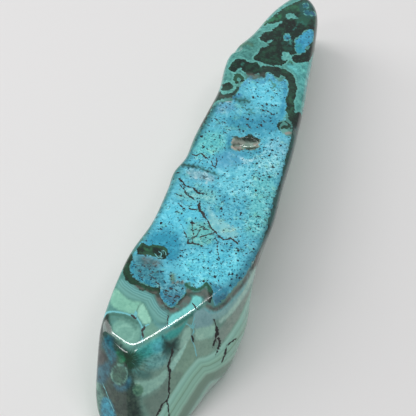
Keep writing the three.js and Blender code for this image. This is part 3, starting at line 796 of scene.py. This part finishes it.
CRACKS = {
    "upper": (0.75, [(192.7, 154), (196.4, 155), (200, 153), (202.7, 154.5), (205, 157), (207.3, 158)]),
    "upper, hook": (0.6, [(211, 161), (212.5, 164), (214.5, 166), (217, 163), (216.4, 159)]),
    "first": (0.8, [(179.5, 179), (183, 182.5), (187, 186), (192, 187), (195.5, 190), (199, 193),
        (202.5, 192.5)]),
    "first, thick": (1.1, [(194, 189), (197, 191), (200, 193)]),
    "second": (0.5, [(180, 184.5), (184, 189), (186, 193.5), (190, 196.5), (194, 199)]),
    "main, head": (1.4, [(199, 204), (199.5, 209), (202, 212), (203.5, 215.5)]),
    "main": (0.7, [(203.5, 215.5), (207, 219), (209, 224), (212, 229), (215, 231.5), (219, 235.5),
        (223, 239), (226.5, 239.5), (230, 238), (234, 240.5), (238, 243.5)]),
    "main, branch": (0.5, [(215.5, 237.5), (218, 243), (216.8, 248), (218, 253), (219.5, 259)]),
    "left cluster": (0.6, [(184, 231.5), (187, 237), (188.5, 240), (188, 243), (194, 243), (199, 244.5),
        (202, 246)]),
    "left cluster, fork": (0.45, [(188.5, 240), (192, 237.5), (193, 242.5)]),
    "net, upright": (0.4, [(192, 224), (193, 231), (194, 238)]),
    "net, dash": (0.6, [(192, 223.5), (196, 223)]),
    "net, slant": (0.4, [(194, 230), (200, 227.5), (205, 225)]),
    "net, rise": (0.4, [(195, 237), (201, 229.5), (209, 229)]),
    "net, foot": (0.5, [(201, 237), (209, 234), (214, 233.5)]),
    "left worm": (0.55, [(177, 194), (181.5, 195.5)]),
    "left worm, low": (0.5, [(179, 204), (182, 207), (185, 209)]),
    "left worm, right": (0.55, [(189, 208), (192, 209), (196, 209.5)]),
    "seam on the near top": (0.4, [(168, 315), (168, 320), (167.5, 326)]),
    "mint band tick": (0.5, [(193, 304), (197, 309)]),
    "blunt end": (1.0, [(173, 349), (172, 355), (168.9, 363.8), (168.5, 367.5), (170, 372.5),
        (169.5, 380), (169.3, 387.5), (169.5, 395)]),
    "blunt end, foot": (0.7, [(169.5, 395), (167, 401), (162, 405), (160, 410), (157, 416), (154, 424)]),
    "blunt end, fork": (0.5, [(167, 401), (168, 405), (169, 416)]),
    "blunt end, hole": (1.0, [(192.6, 336), (193, 341)]),
    "hole, upper": (1.4, [(133, 316), (134.5, 317)]),
    "hole, lower": (1.4, [(143.5, 327.5), (142.5, 330)]),
    "hole, lowest": (1.1, [(142.5, 333), (142.5, 336)]),
    "gash, head": (0.6, [(214.3, 320), (216, 324), (217, 328)]),
    "gash": (1.5, [(217, 328), (217.3, 332), (216, 337)]),
    "gash, tail": (0.7, [(216, 337), (214.5, 342), (213, 346)]),
    "gash, second": (1.1, [(218.9, 338), (220, 343.8), (218.5, 348)]),
    "gash, second tail": (0.6, [(218.5, 348), (217, 352), (216, 355)]),
    "gash, third": (0.9, [(227, 348.8), (225, 355), (222.6, 361)]),
    "gash, fourth": (0.7, [(235.8, 338.8), (230.8, 343), (228, 345)]),
}

# Single dark specks: strokes of hardly any length.
SPECK_HALF_WIDTH, SPECK_RUN = 0.75, (0.7, 0.4)
SPECKS = (
    (253, 97), (262, 105), (266, 104), (272, 105), (263, 110), (268, 111), (271, 113), (264, 121),
    (261, 125), (257, 127), (247, 119), (247, 124), (216, 119), (224, 122), (225, 132), (249, 127),
    (136, 265), (144, 266), (149, 268), (139, 271), (152, 271), (150, 275), (141, 277), (154, 278),
    (157, 283), (171, 288), (176, 290), (167, 290), (165, 294), (170, 296), (177, 296), (174, 300),
)
CRACKS |= {
    f"speck at {x}, {y}": (SPECK_HALF_WIDTH, [(x, y), (x + SPECK_RUN[0], y + SPECK_RUN[1])])
    for x, y in SPECKS
}
vein_side, vein_width, vein_depth = beside(VEINS)
crack_side, crack_width, crack_depth = beside(CRACKS)

# Small relief, cut into the surface: the chip at the right edge, the green hollow and the open cracks.
CHIP_CUT, HOLLOW_CUT, CRACK_CUT = 0.3, 0.25, 0.12
CHIP_FEATHER, CRACK_SLOPE = 2, (-1, 0.3)
CHIP_AREA = [(279, 128), (286, 126), (294, 129), (292, 135), (284, 135.5)]
HOLLOW_CENTRE, HOLLOW_RADIUS = (129, 361), 11.0
cut = CHIP_CUT * cover(CHIP_AREA, CHIP_FEATHER)
cut += HOLLOW_CUT * np.exp(-((spot - HOLLOW_CENTRE) ** 2).sum(1) / HOLLOW_RADIUS**2)
cut *= in_view
crack_cut = CRACK_CUT * ramp(*CRACK_SLOPE, crack_depth) * in_view


def mesh_slope(points):
    """Unit normals of the grid of rings: the cross product of the step along the stone and the step round
    it."""
    grid = points[1:-1].reshape(RINGS - 1, SPOKES, 3)
    along = np.gradient(grid, axis=0)
    round_it = np.roll(grid, -1, 1) - np.roll(grid, 1, 1)
    square = np.cross(round_it, along)
    square /= np.linalg.norm(square, axis=-1, keepdims=True)
    return np.vstack((np.zeros(3), square.reshape(-1, 3), np.zeros(3)))


carved_points = stone_points - cut[:, None] * stone_normals
carved_normals = stone_normals + mesh_slope(carved_points) - mesh_slope(stone_points)
carved_normals /= np.linalg.norm(carved_normals, axis=1, keepdims=True)
carved_points -= crack_cut[:, None] * stone_normals
stone_middle = (stone_points.min(0) + stone_points.max(0)) / 2 * (1, 1, 0)

# The mesh, with what each spot is made of as attributes. Depths are in millimetres. The pale rims of the
# dark lobes are only at the tip, and fade between two rows of the frame.
MM_PER_METRE = 1000
RIMS_FADE, PIT_FEATHER = (105, 125), 1
ring_number, spoke_number = np.meshgrid(np.arange(RINGS - 2), np.arange(SPOKES), indexing="ij")
next_spoke = (spoke_number + 1) % SPOKES
here, on_next = 1 + ring_number * SPOKES + spoke_number, 1 + ring_number * SPOKES + next_spoke
quads = np.stack((here, here + SPOKES, on_next + SPOKES, on_next), -1).reshape(-1, 4)
spokes = np.arange(SPOKES)
first_ring, last_ring = 1 + spokes, 1 + (RINGS - 2) * SPOKES + spokes
blunt_fan = np.stack((0 * spokes, first_ring, np.roll(first_ring, -1)), -1)
tip_fan = np.stack((0 * spokes + len(stone_points) - 1, np.roll(last_ring, -1), last_ring), -1)
stone_mesh = bpy.data.meshes.new("polished_chrysocolla")
stone_mesh.from_pydata(
    (carved_points - stone_middle) / MM_PER_METRE,
    [],
    quads.tolist() + blunt_fan.tolist() + tip_fan.tolist(),
)
stone_mesh.polygons.foreach_set("use_smooth", np.ones(len(stone_mesh.polygons), bool))
stone_mesh.normals_split_custom_set_from_vertices(carved_normals)
hidden_depth = REACH * (2 * hidden_fade - 1)
pixel_measures = {
    "blue": np.minimum(blue_depth, hidden_depth),
    "dark": np.minimum(dark_depth, hidden_depth),
    "crack": np.minimum(crack_depth, hidden_depth),
    "crack_side": crack_side,
    "crack_width": crack_width,
    "vein": np.minimum(vein_depth, hidden_depth),
    "vein_side": vein_side,
    "vein_width": vein_width,
    "contour": contour_at,
    "fan_reach": fan_reach,
}
measures = {name: values / PIXELS_PER_MM for name, values in pixel_measures.items()} | {
    "contoured": contoured * hidden_fade,
    "fan_bearing": fan_bearing,
    "fanned": fanned * in_view,
    "brown": brown_cover * hidden_fade,
    "band": band_at,
    "banded": banded,
    "rims": (1 - ramp(*RIMS_FADE, spot[:, 1])) * hidden_fade,
    "pit": ramp(-PIT_FEATHER, PIT_FEATHER, pit_depth),
    "crowd": speck_crowd,
    "grainy": grainy,
}
colours = {"ground": ground_colour, "field": field_colour, "velvet": velvet_colour}
for name, values in measures.items():
    attribute = stone_mesh.attributes.new(name, "FLOAT", "POINT")
    attribute.data.foreach_set("value", values.astype(np.float32))
for name, values in colours.items():
    full_cover = np.column_stack((values, np.ones(len(values))))
    attribute = stone_mesh.attributes.new(name, "FLOAT_COLOR", "POINT")
    attribute.data.foreach_set("color", full_cover.astype(np.float32).ravel())
stone = bpy.data.objects.new("polished_chrysocolla", stone_mesh)
bpy.context.scene.collection.objects.link(stone)
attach(stone, "root")
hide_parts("stone")

# Chrysocolla and malachite, ground smooth and buffed: saturated colour right up to a thin wet-looking
# gloss, with a fine dark grain in the blue, velvet in the dark green and fine lines in the pale bands.
STONE_IOR = 1.65
stone_material = bpy.data.materials.new("polished_chrysocolla_and_malachite")
stone_material.use_nodes = True
tree = stone_material.node_tree
shader = tree.nodes["Principled BSDF"]
shader.inputs["IOR"].default_value = STONE_IOR


def add(kind, feeds, out=0, **settings):
    """Adds a node: sets its settings, and feeds each socket a value or a link. Gives back one output."""
    made = tree.nodes.new(kind)
    for name, value in settings.items():
        setattr(made, name, value)
    for socket, source in feeds.items():
        if isinstance(source, bpy.types.NodeSocket):
            tree.links.new(source, made.inputs[socket])
        else:
            made.inputs[socket].default_value = source
    return made.outputs[out]


def rgba(hex_colour):
    """Linear colour with full cover."""
    return (*linear(hex_colour), 1)


def per_metre(millimetres):
    """Texture scale for a grain of that size."""
    return MM_PER_METRE / millimetres


# Kinds of node, their settings, and sockets by place: the value of a step, its two ends and what it gives
# at each, and the share of a mix, its two colours and its result.
NOISE, CELLS, MATH, STEP, MIX = (
    "ShaderNodeTexNoise", "ShaderNodeTexVoronoi", "ShaderNodeMath", "ShaderNodeMapRange", "ShaderNodeMix",
)
VECTORS, PARTS = "ShaderNodeVectorMath", "ShaderNodeSeparateColor"
SMOOTH, COLOURS = {"interpolation_type": "SMOOTHSTEP"}, {"data_type": "RGBA"}
ADD, TIMES, TIMES_ADD, LESS = (
    {"operation": name} for name in ("ADD", "MULTIPLY", "MULTIPLY_ADD", "SUBTRACT")
)
VALUE, LOW, HIGH, LEAST, MOST = range(5)
SHARE, UNDER, OVER, MIXED = 0, 6, 7, 2

# Sizes of the patterns in the stone, in millimetres, and the noise's middle value.
CLOUD, MOTTLE, TINT, GRAIN, FINE_GRAIN, HAIR, BEAD = 3, 1.4, 1.9, 0.55, 0.3, 2.4, 1.5
NOISE_MIDDLE = 0.5

place = add("ShaderNodeTexCoord", {}, "Object")
at_spot = {name: add("ShaderNodeAttribute", {}, "Fac", attribute_name=name) for name in measures}
tinted = {name: add("ShaderNodeAttribute", {}, "Color", attribute_name=name) for name in colours}
cloud = add(NOISE, {"Vector": place, "Scale": per_metre(CLOUD), "Detail": 2})
mottle = add(NOISE, {"Vector": place, "Scale": per_metre(MOTTLE), "Detail": 4})
tints = add(NOISE, {"Vector": place, "Scale": per_metre(TINT), "Detail": 3}, "Color")
grain = add(NOISE, {"Vector": place, "Scale": per_metre(GRAIN), "Detail": 3})
grain_tints = grain.node.outputs["Color"]
ragged = add(MATH, {0: mottle, 1: -NOISE_MIDDLE}, **ADD)
frayed = add(MATH, {0: grain, 1: -NOISE_MIDDLE}, **ADD)
tint_red, tint_green = (add(PARTS, {0: tints}, part) for part in (0, 1))

# Pale malachite bands and teal contours: colours at pixel depths from the first. The bands run there and
# back again, and both stray with the mottle, by so many millimetres. A new colour ramp has its first stops
# ready.
BANDS = (
    (0, "#83b8a2"), (2, "#9ad0c0"), (4, "#8fc9b7"), (5.6, "#83b8a4"), (7, "#92cab5"), (9.2, "#8abaa3"),
    (10, "#72a38a"), (11, "#8cbeaa"), (13, "#8ec3af"), (14.2, "#84b59f"), (15.6, "#94c8b3"),
    (17.6, "#87ad9a"), (18.6, "#739482"), (22, "#6e8f7d"), (24.6, "#759586"), (26.6, "#94c0b0"),
    (29, "#9ebcb0"), (31, "#5a8c7a"), (33, "#427666"), (36, "#2c5c4e"),
)
CONTOURS = (
    (0, "#548f8c"), (3, "#76c4c4"), (3.8, "#7ac0bf"), (4.6, "#5a9694"), (5.6, "#78bab8"), (6.6, "#5a9692"),
    (7.8, "#76b6b2"), (9.0, "#5e9892"), (10.2, "#76b4ae"), (11.4, "#629a92"), (13.0, "#72aea6"),
    (16, "#68a298"),
)
BAND_STRAY, CONTOUR_STRAY, READY_STOPS = 0.25, 0.5, 2
band_along = add(MATH, {0: ragged, 1: BAND_STRAY, 2: at_spot["band"]}, **TIMES_ADD)
band_along = add(MATH, {0: band_along, 1: BANDS[-1][0] / PIXELS_PER_MM}, operation="PINGPONG")
contour_along = add(MATH, {0: ragged, 1: CONTOUR_STRAY, 2: at_spot["contour"]}, **TIMES_ADD)
layers = []
for stops, along in ((BANDS, band_along), (CONTOURS, contour_along)):
    last_depth = stops[-1][0]
    along_share = add(MATH, {0: along, 1: PIXELS_PER_MM / last_depth}, **TIMES)
    layers.append(add("ShaderNodeValToRGB", {0: along_share}))
    elements = layers[-1].node.color_ramp.elements
    for number, (depth, hex_colour) in enumerate(stops):
        share = depth / last_depth
        stop = elements[number] if number < READY_STOPS else elements.new(share)
        stop.position = share
        stop.color = rgba(hex_colour)
band_layers, contour_layers = layers

# The grounds: darker and paler grains, the fibres of the green hollow, then the layers. Fibres are so many
# to a radian and to a millimetre outwards, and bend with the tints.
FIBRES, FIBRE_BEND = (9, 0.6, 0), (1.2, 1.2, 0)
colour = tinted["ground"]
for noise, low, high, tint in (
    (mottle, 0.42, 0.66, (0.45, 0.58, 0.6, 1)),
    (grain, 0.47, 0.65, (0.5, 0.66, 0.66, 1)),
    (tint_green, 0.52, 0.68, (1.6, 1.35, 1.3, 1)),
):
    share = add(STEP, {VALUE: noise, LOW: low, HIGH: high, MOST: at_spot["grainy"]}, **SMOOTH)
    colour = add(MIX, {SHARE: share, UNDER: colour, OVER: tint}, MIXED, blend_type="MULTIPLY", **COLOURS)
fan_place = add("ShaderNodeCombineXYZ", {0: at_spot["fan_bearing"], 1: at_spot["fan_reach"]})
fan_place = add(VECTORS, {0: fan_place, 1: FIBRES}, **TIMES)
fan_place = add(VECTORS, {0: tints, 1: FIBRE_BEND, 2: fan_place}, **TIMES_ADD)
fibre = add(NOISE, {"Vector": fan_place, "Scale": 1.0, "Detail": 4})
for low, high, most, hex_colour in ((0.45, 0.75, 0.6, "#0a5a48"), (0.5, 0.3, 0.4, "#6cc4bc")):
    share = add(STEP, {VALUE: fibre, LOW: low, HIGH: high, MOST: most}, **SMOOTH)
    share = add(MATH, {0: share, 1: at_spot["fanned"]}, **TIMES)
    colour = add(MIX, {SHARE: share, UNDER: colour, OVER: rgba(hex_colour)}, MIXED, **COLOURS)
for share, laid_over in ((at_spot["contoured"], contour_layers), (at_spot["banded"], band_layers)):
    colour = add(MIX, {SHARE: share, UNDER: colour, OVER: laid_over}, MIXED, **COLOURS)

# The blue: grains of deeper and paler blue and of green, then specks in three sizes, their cells shaken by
# part of a millimetre so that no two are alike, and hair lines. The finest specks of the real stone are
# drawn coarser, to show at all.
GRAIN_PER_CROWD, SPECK_EDGE = 0.65, 0.08
SHAKE, FINE_SHAKE = (0.8 / MM_PER_METRE,) * 3, (0.5 / MM_PER_METRE,) * 3
blue = tinted["field"]
grain_most = add(MATH, {0: at_spot["crowd"], 1: GRAIN_PER_CROWD}, **TIMES)
for noise, low, high, most, tint in (
    (grain, 0.48, 0.62, grain_most, (0.42, 0.66, 0.72, 1)),
    (mottle, 0.5, 0.66, 0.8, (1.9, 1.3, 1.22, 1)),
    (tint_red, 0.54, 0.7, 0.7, (0.42, 0.7, 0.8, 1)),
    (tint_green, 0.57, 0.7, 0.6, (1.3, 1.04, 0.8, 1)),
):
    share = add(STEP, {VALUE: noise, LOW: low, HIGH: high, MOST: most}, **SMOOTH)
    blue = add(MIX, {SHARE: share, UNDER: blue, OVER: tint}, MIXED, blend_type="MULTIPLY", **COLOURS)
fine_tints = add(NOISE, {"Vector": place, "Scale": per_metre(FINE_GRAIN), "Detail": 1}, "Color")
shaken = add(VECTORS, {0: grain_tints, 1: SHAKE, 2: place}, **TIMES_ADD)
shaken = add(VECTORS, {0: fine_tints, 1: FINE_SHAKE, 2: shaken}, **TIMES_ADD)
crowd = add(STEP, {VALUE: cloud, LOW: 0.38, HIGH: 0.6, LEAST: 0.5, MOST: 1.1}, **SMOOTH)
crowd = add(MATH, {0: crowd, 1: at_spot["crowd"]}, **TIMES)
for cell, smallest, largest, keep, hex_colour in (
    (0.55, 0.14, 0.2, 0.5, "#1f5566"),
    (0.8, 0.2, 0.3, 0.7, "#173c4a"),
    (1.7, 0.26, 0.44, 0.3, "#121b21"),
):
    off_middle = add(CELLS, {"Vector": shaken, "Scale": per_metre(cell)}, "Distance")
    size_draw, keep_draw = (add(PARTS, {0: off_middle.node.outputs["Color"]}, part) for part in (0, 1))
    radius = add(MATH, {0: size_draw, 1: (largest - smallest) / cell, 2: smallest / cell}, **TIMES_ADD)
    within = add(MATH, {0: radius, 1: off_middle}, **LESS)
    keep_below = add(MATH, {0: crowd, 1: keep}, **TIMES)
    kept = add(MATH, {0: keep_draw, 1: keep_below}, operation="LESS_THAN")
    share = add(STEP, {VALUE: within, LOW: 0.0, HIGH: SPECK_EDGE / cell}, **SMOOTH)
    share = add(MATH, {0: share, 1: kept}, **TIMES)
    blue = add(MIX, {SHARE: share, UNDER: blue, OVER: rgba(hex_colour)}, MIXED, **COLOURS)
hair = add(NOISE, {"Vector": place, "Scale": per_metre(HAIR), "Detail": 2})
off_hair = add(MATH, {0: hair, 1: -NOISE_MIDDLE}, **ADD)
off_hair = add(MATH, {0: off_hair}, operation="ABSOLUTE")
hair_line = add(STEP, {VALUE: off_hair, LOW: 0.014, HIGH: 0.004, MOST: 0.8}, **SMOOTH)
hair_kept = add(STEP, {VALUE: tint_green, LOW: 0.5, HIGH: 0.58}, **SMOOTH)
share = add(MATH, {0: hair_line, 1: hair_kept}, **TIMES)
blue = add(MIX, {SHARE: share, UNDER: blue, OVER: rgba("#2a3a3a")}, MIXED, **COLOURS)

# The dark green, mottled. Its edges are like a row of beads, and all edges are ragged with the mottle and
# frayed with the grain, by so many millimetres.
BEAD_SLOPE, BEAD_TOP = -0.7, 0.26
DARK_FRAY, DARK_RAG, BLUE_FRAY, BLUE_RAG = 0.8, 0.8, 1.2, 1.4
dark = tinted["velvet"]
for noise, low, high, most, hex_colour in (
    (mottle, 0.5, 0.68, 0.45, "#1f5a42"),
    (tint_red, 0.52, 0.66, 0.7, "#061410"),
    (grain, 0.56, 0.72, 0.4, "#2f6f56"),
):
    share = add(STEP, {VALUE: noise, LOW: low, HIGH: high, MOST: most}, **SMOOTH)
    dark = add(MIX, {SHARE: share, UNDER: dark, OVER: rgba(hex_colour)}, MIXED, **COLOURS)
beads = add(CELLS, {"Vector": place, "Scale": per_metre(BEAD)}, "Distance", feature="SMOOTH_F1")
beads = add(MATH, {0: beads, 1: BEAD_SLOPE, 2: BEAD_TOP}, **TIMES_ADD)
dark_edge = add(MATH, {0: at_spot["dark"], 1: beads}, **ADD)
dark_edge = add(MATH, {0: frayed, 1: DARK_FRAY, 2: dark_edge}, **TIMES_ADD)
dark_edge = add(MATH, {0: ragged, 1: DARK_RAG, 2: dark_edge}, **TIMES_ADD)
blue_edge = add(MATH, {0: ragged, 1: BLUE_RAG, 2: at_spot["blue"]}, **TIMES_ADD)
blue_edge = add(MATH, {0: frayed, 1: BLUE_FRAY, 2: blue_edge}, **TIMES_ADD)

# Veins and cracks: lines that wander with the mottle and fray with the grain, by so many millimetres.
line_shares = []
for name, wander, fray in (("vein", 0.3, 0.3), ("crack", 0.7, 0.7)):
    wandering = add(MATH, {0: ragged, 1: wander, 2: at_spot[name + "_side"]}, **TIMES_ADD)
    off_line = add(MATH, {0: wandering}, operation="ABSOLUTE")
    edge = add(MATH, {0: at_spot[name + "_width"], 1: off_line}, **LESS)
    edge = add(MATH, {0: frayed, 1: fray, 2: edge}, **TIMES_ADD)
    near_line = add(STEP, {VALUE: at_spot[name], LOW: -0.36, HIGH: -0.24}, **SMOOTH)
    line_shares.append(add(STEP, {VALUE: edge, LOW: -0.06, HIGH: 0.06, MOST: near_line}, **SMOOTH))
vein_share, crack_share = line_shares

# All of them laid over the grounds in turn: pale rims, blue, dark green, brown host rock, veins and cracks.
rim_edge = add(STEP, {VALUE: dark_edge, LOW: -0.5, HIGH: -0.2, MOST: at_spot["rims"]}, **SMOOTH)
rim_share = add(STEP, {VALUE: mottle, LOW: 0.35, HIGH: 0.6, MOST: rim_edge}, **SMOOTH)
blue_share = add(STEP, {VALUE: blue_edge, LOW: -0.1, HIGH: 0.1}, **SMOOTH)
dark_share = add(STEP, {VALUE: dark_edge, LOW: -0.08, HIGH: 0.08}, **SMOOTH)
brown_share = add(STEP, {VALUE: mottle, LOW: 0.3, HIGH: 0.5, LEAST: 0.55}, **SMOOTH)
brown_share = add(MATH, {0: brown_share, 1: at_spot["brown"]}, **TIMES)
brown_mottle = add(STEP, {VALUE: tint_red, LOW: 0.4, HIGH: 0.6}, **SMOOTH)
brown_rock = add(
    MIX, {SHARE: brown_mottle, UNDER: rgba("#36423c"), OVER: rgba("#666760")}, MIXED, **COLOURS
)
for share, laid_over in (
    (rim_share, rgba("#6cbcb2")),
    (blue_share, blue),
    (dark_share, dark),
    (brown_share, brown_rock),
    (vein_share, rgba("#76c4c8")),
    (crack_share, rgba("#080605")),
):
    colour = add(MIX, {SHARE: share, UNDER: colour, OVER: laid_over}, MIXED, **COLOURS)
tree.links.new(colour, shader.inputs["Base Color"])

# The polish: nearly mirror smooth, duller on the brown rock and in the cracks. The pit is gritty.
ROUGH_GRAIN, ROUGH_LEAST = 0.08, 0.05
rough = add(MATH, {0: grain, 1: ROUGH_GRAIN, 2: ROUGH_LEAST}, **TIMES_ADD)
for share, roughness in ((brown_share, 0.22), (crack_share, 0.6), (at_spot["pit"], 0.12)):
    rough = add(MIX, {"Factor": share, "A": rough, "B": roughness})
tree.links.new(rough, shader.inputs["Roughness"])
pit_grit = add(MATH, {0: at_spot["pit"], 1: mottle}, **TIMES)
bump = add("ShaderNodeBump", {"Height": pit_grit, "Distance": 0.1 / MM_PER_METRE, "Strength": 0.5})
tree.links.new(bump, shader.inputs["Normal"])
stone_mesh.materials.append(stone_material)

# The floor.
# A wide sheet of matt pale card under the stone. It is only the setting.
FLOOR_HALF_SIDE = 3.0
floor_mesh = bpy.data.meshes.new("floor")
floor_mesh.from_pydata(
    [(FLOOR_HALF_SIDE * x, FLOOR_HALF_SIDE * y, 0) for x, y in ((-1, -1), (1, -1), (1, 1), (-1, 1))],
    [],
    [(0, 1, 2, 3)],
)
floor = bpy.data.objects.new("floor", floor_mesh)
bpy.context.scene.collection.objects.link(floor)
card = bpy.data.materials.new("matt_card")
card.use_nodes = True
card_shader = card.node_tree.nodes["Principled BSDF"]
card_shader.inputs["Base Color"].default_value = rgba("#eae8e7")
card_shader.inputs["Roughness"].default_value = 0.9
floor_mesh.materials.append(card)

# The light.
# A bright room, a long narrow lamp overhead that draws the white line along the near edges, a wide window
# on the left, and two small lamps in front that give the second glints at the near corner.
ROOM_TINT, ROOM_STRENGTH = (0.95, 0.97, 1, 1), 0.36
world = bpy.data.worlds.new("studio")
world.use_nodes = True
world.node_tree.nodes["Background"].inputs["Color"].default_value = ROOM_TINT
world.node_tree.nodes["Background"].inputs["Strength"].default_value = ROOM_STRENGTH
bpy.context.scene.world = world

# Lamps: place, aim and sides in metres, and power in watts. The first side is level with the X axis.
LAMPS = {
    "overhead strip": ((-0.02, 0.06, 0.75), (-0.01, 0, 0.02), (0.92, 0.04), 2.2),
    "window side": ((-1.05, 0.14, 0.58), (0, 0, 0.02), (1.4, 0.56), 6.8),
    "front left": ((-0.48, -0.44, 0.64), (0, 0, 0.02), (0.4, 0.06), 0.6),
    "front right": ((0.33, -0.21, 0.84), (0, 0, 0.02), (0.1, 0.07), 0.25),
}
for name, (position, aim, sides, power) in LAMPS.items():
    lamp = bpy.data.lights.new(name, "AREA")
    lamp.shape = "RECTANGLE"
    lamp.size, lamp.size_y = sides
    lamp.energy = power
    holder = bpy.data.objects.new(name, lamp)
    backwards = (Vector(position) - Vector(aim)).normalized()
    across = Vector((0, 1, 0)).cross(backwards).normalized()
    turned = Matrix((across, backwards.cross(across), backwards)).transposed()
    holder.matrix_world = Matrix.Translation(position) @ turned.to_4x4()
    bpy.context.scene.collection.objects.link(holder)

# The camera.
# It looks along the same view line as the markings, with the same focal length in pixels.
camera_data = bpy.data.cameras.new("camera")
camera_data.sensor_width = 36
camera_data.lens = camera_data.sensor_width * PIXELS_PER_MM * VIEW_DISTANCE / FRAME_PIXELS
camera_data.clip_start = 0.01
camera = bpy.data.objects.new("camera", camera_data)
camera.location = (view_eye - stone_middle) / MM_PER_METRE
camera.rotation_euler = Vector(-view_back).to_track_quat("-Z", "Y").to_euler()
bpy.context.scene.collection.objects.link(camera)
bpy.context.scene.camera = camera
bpy.context.scene.view_settings.view_transform = "Standard"
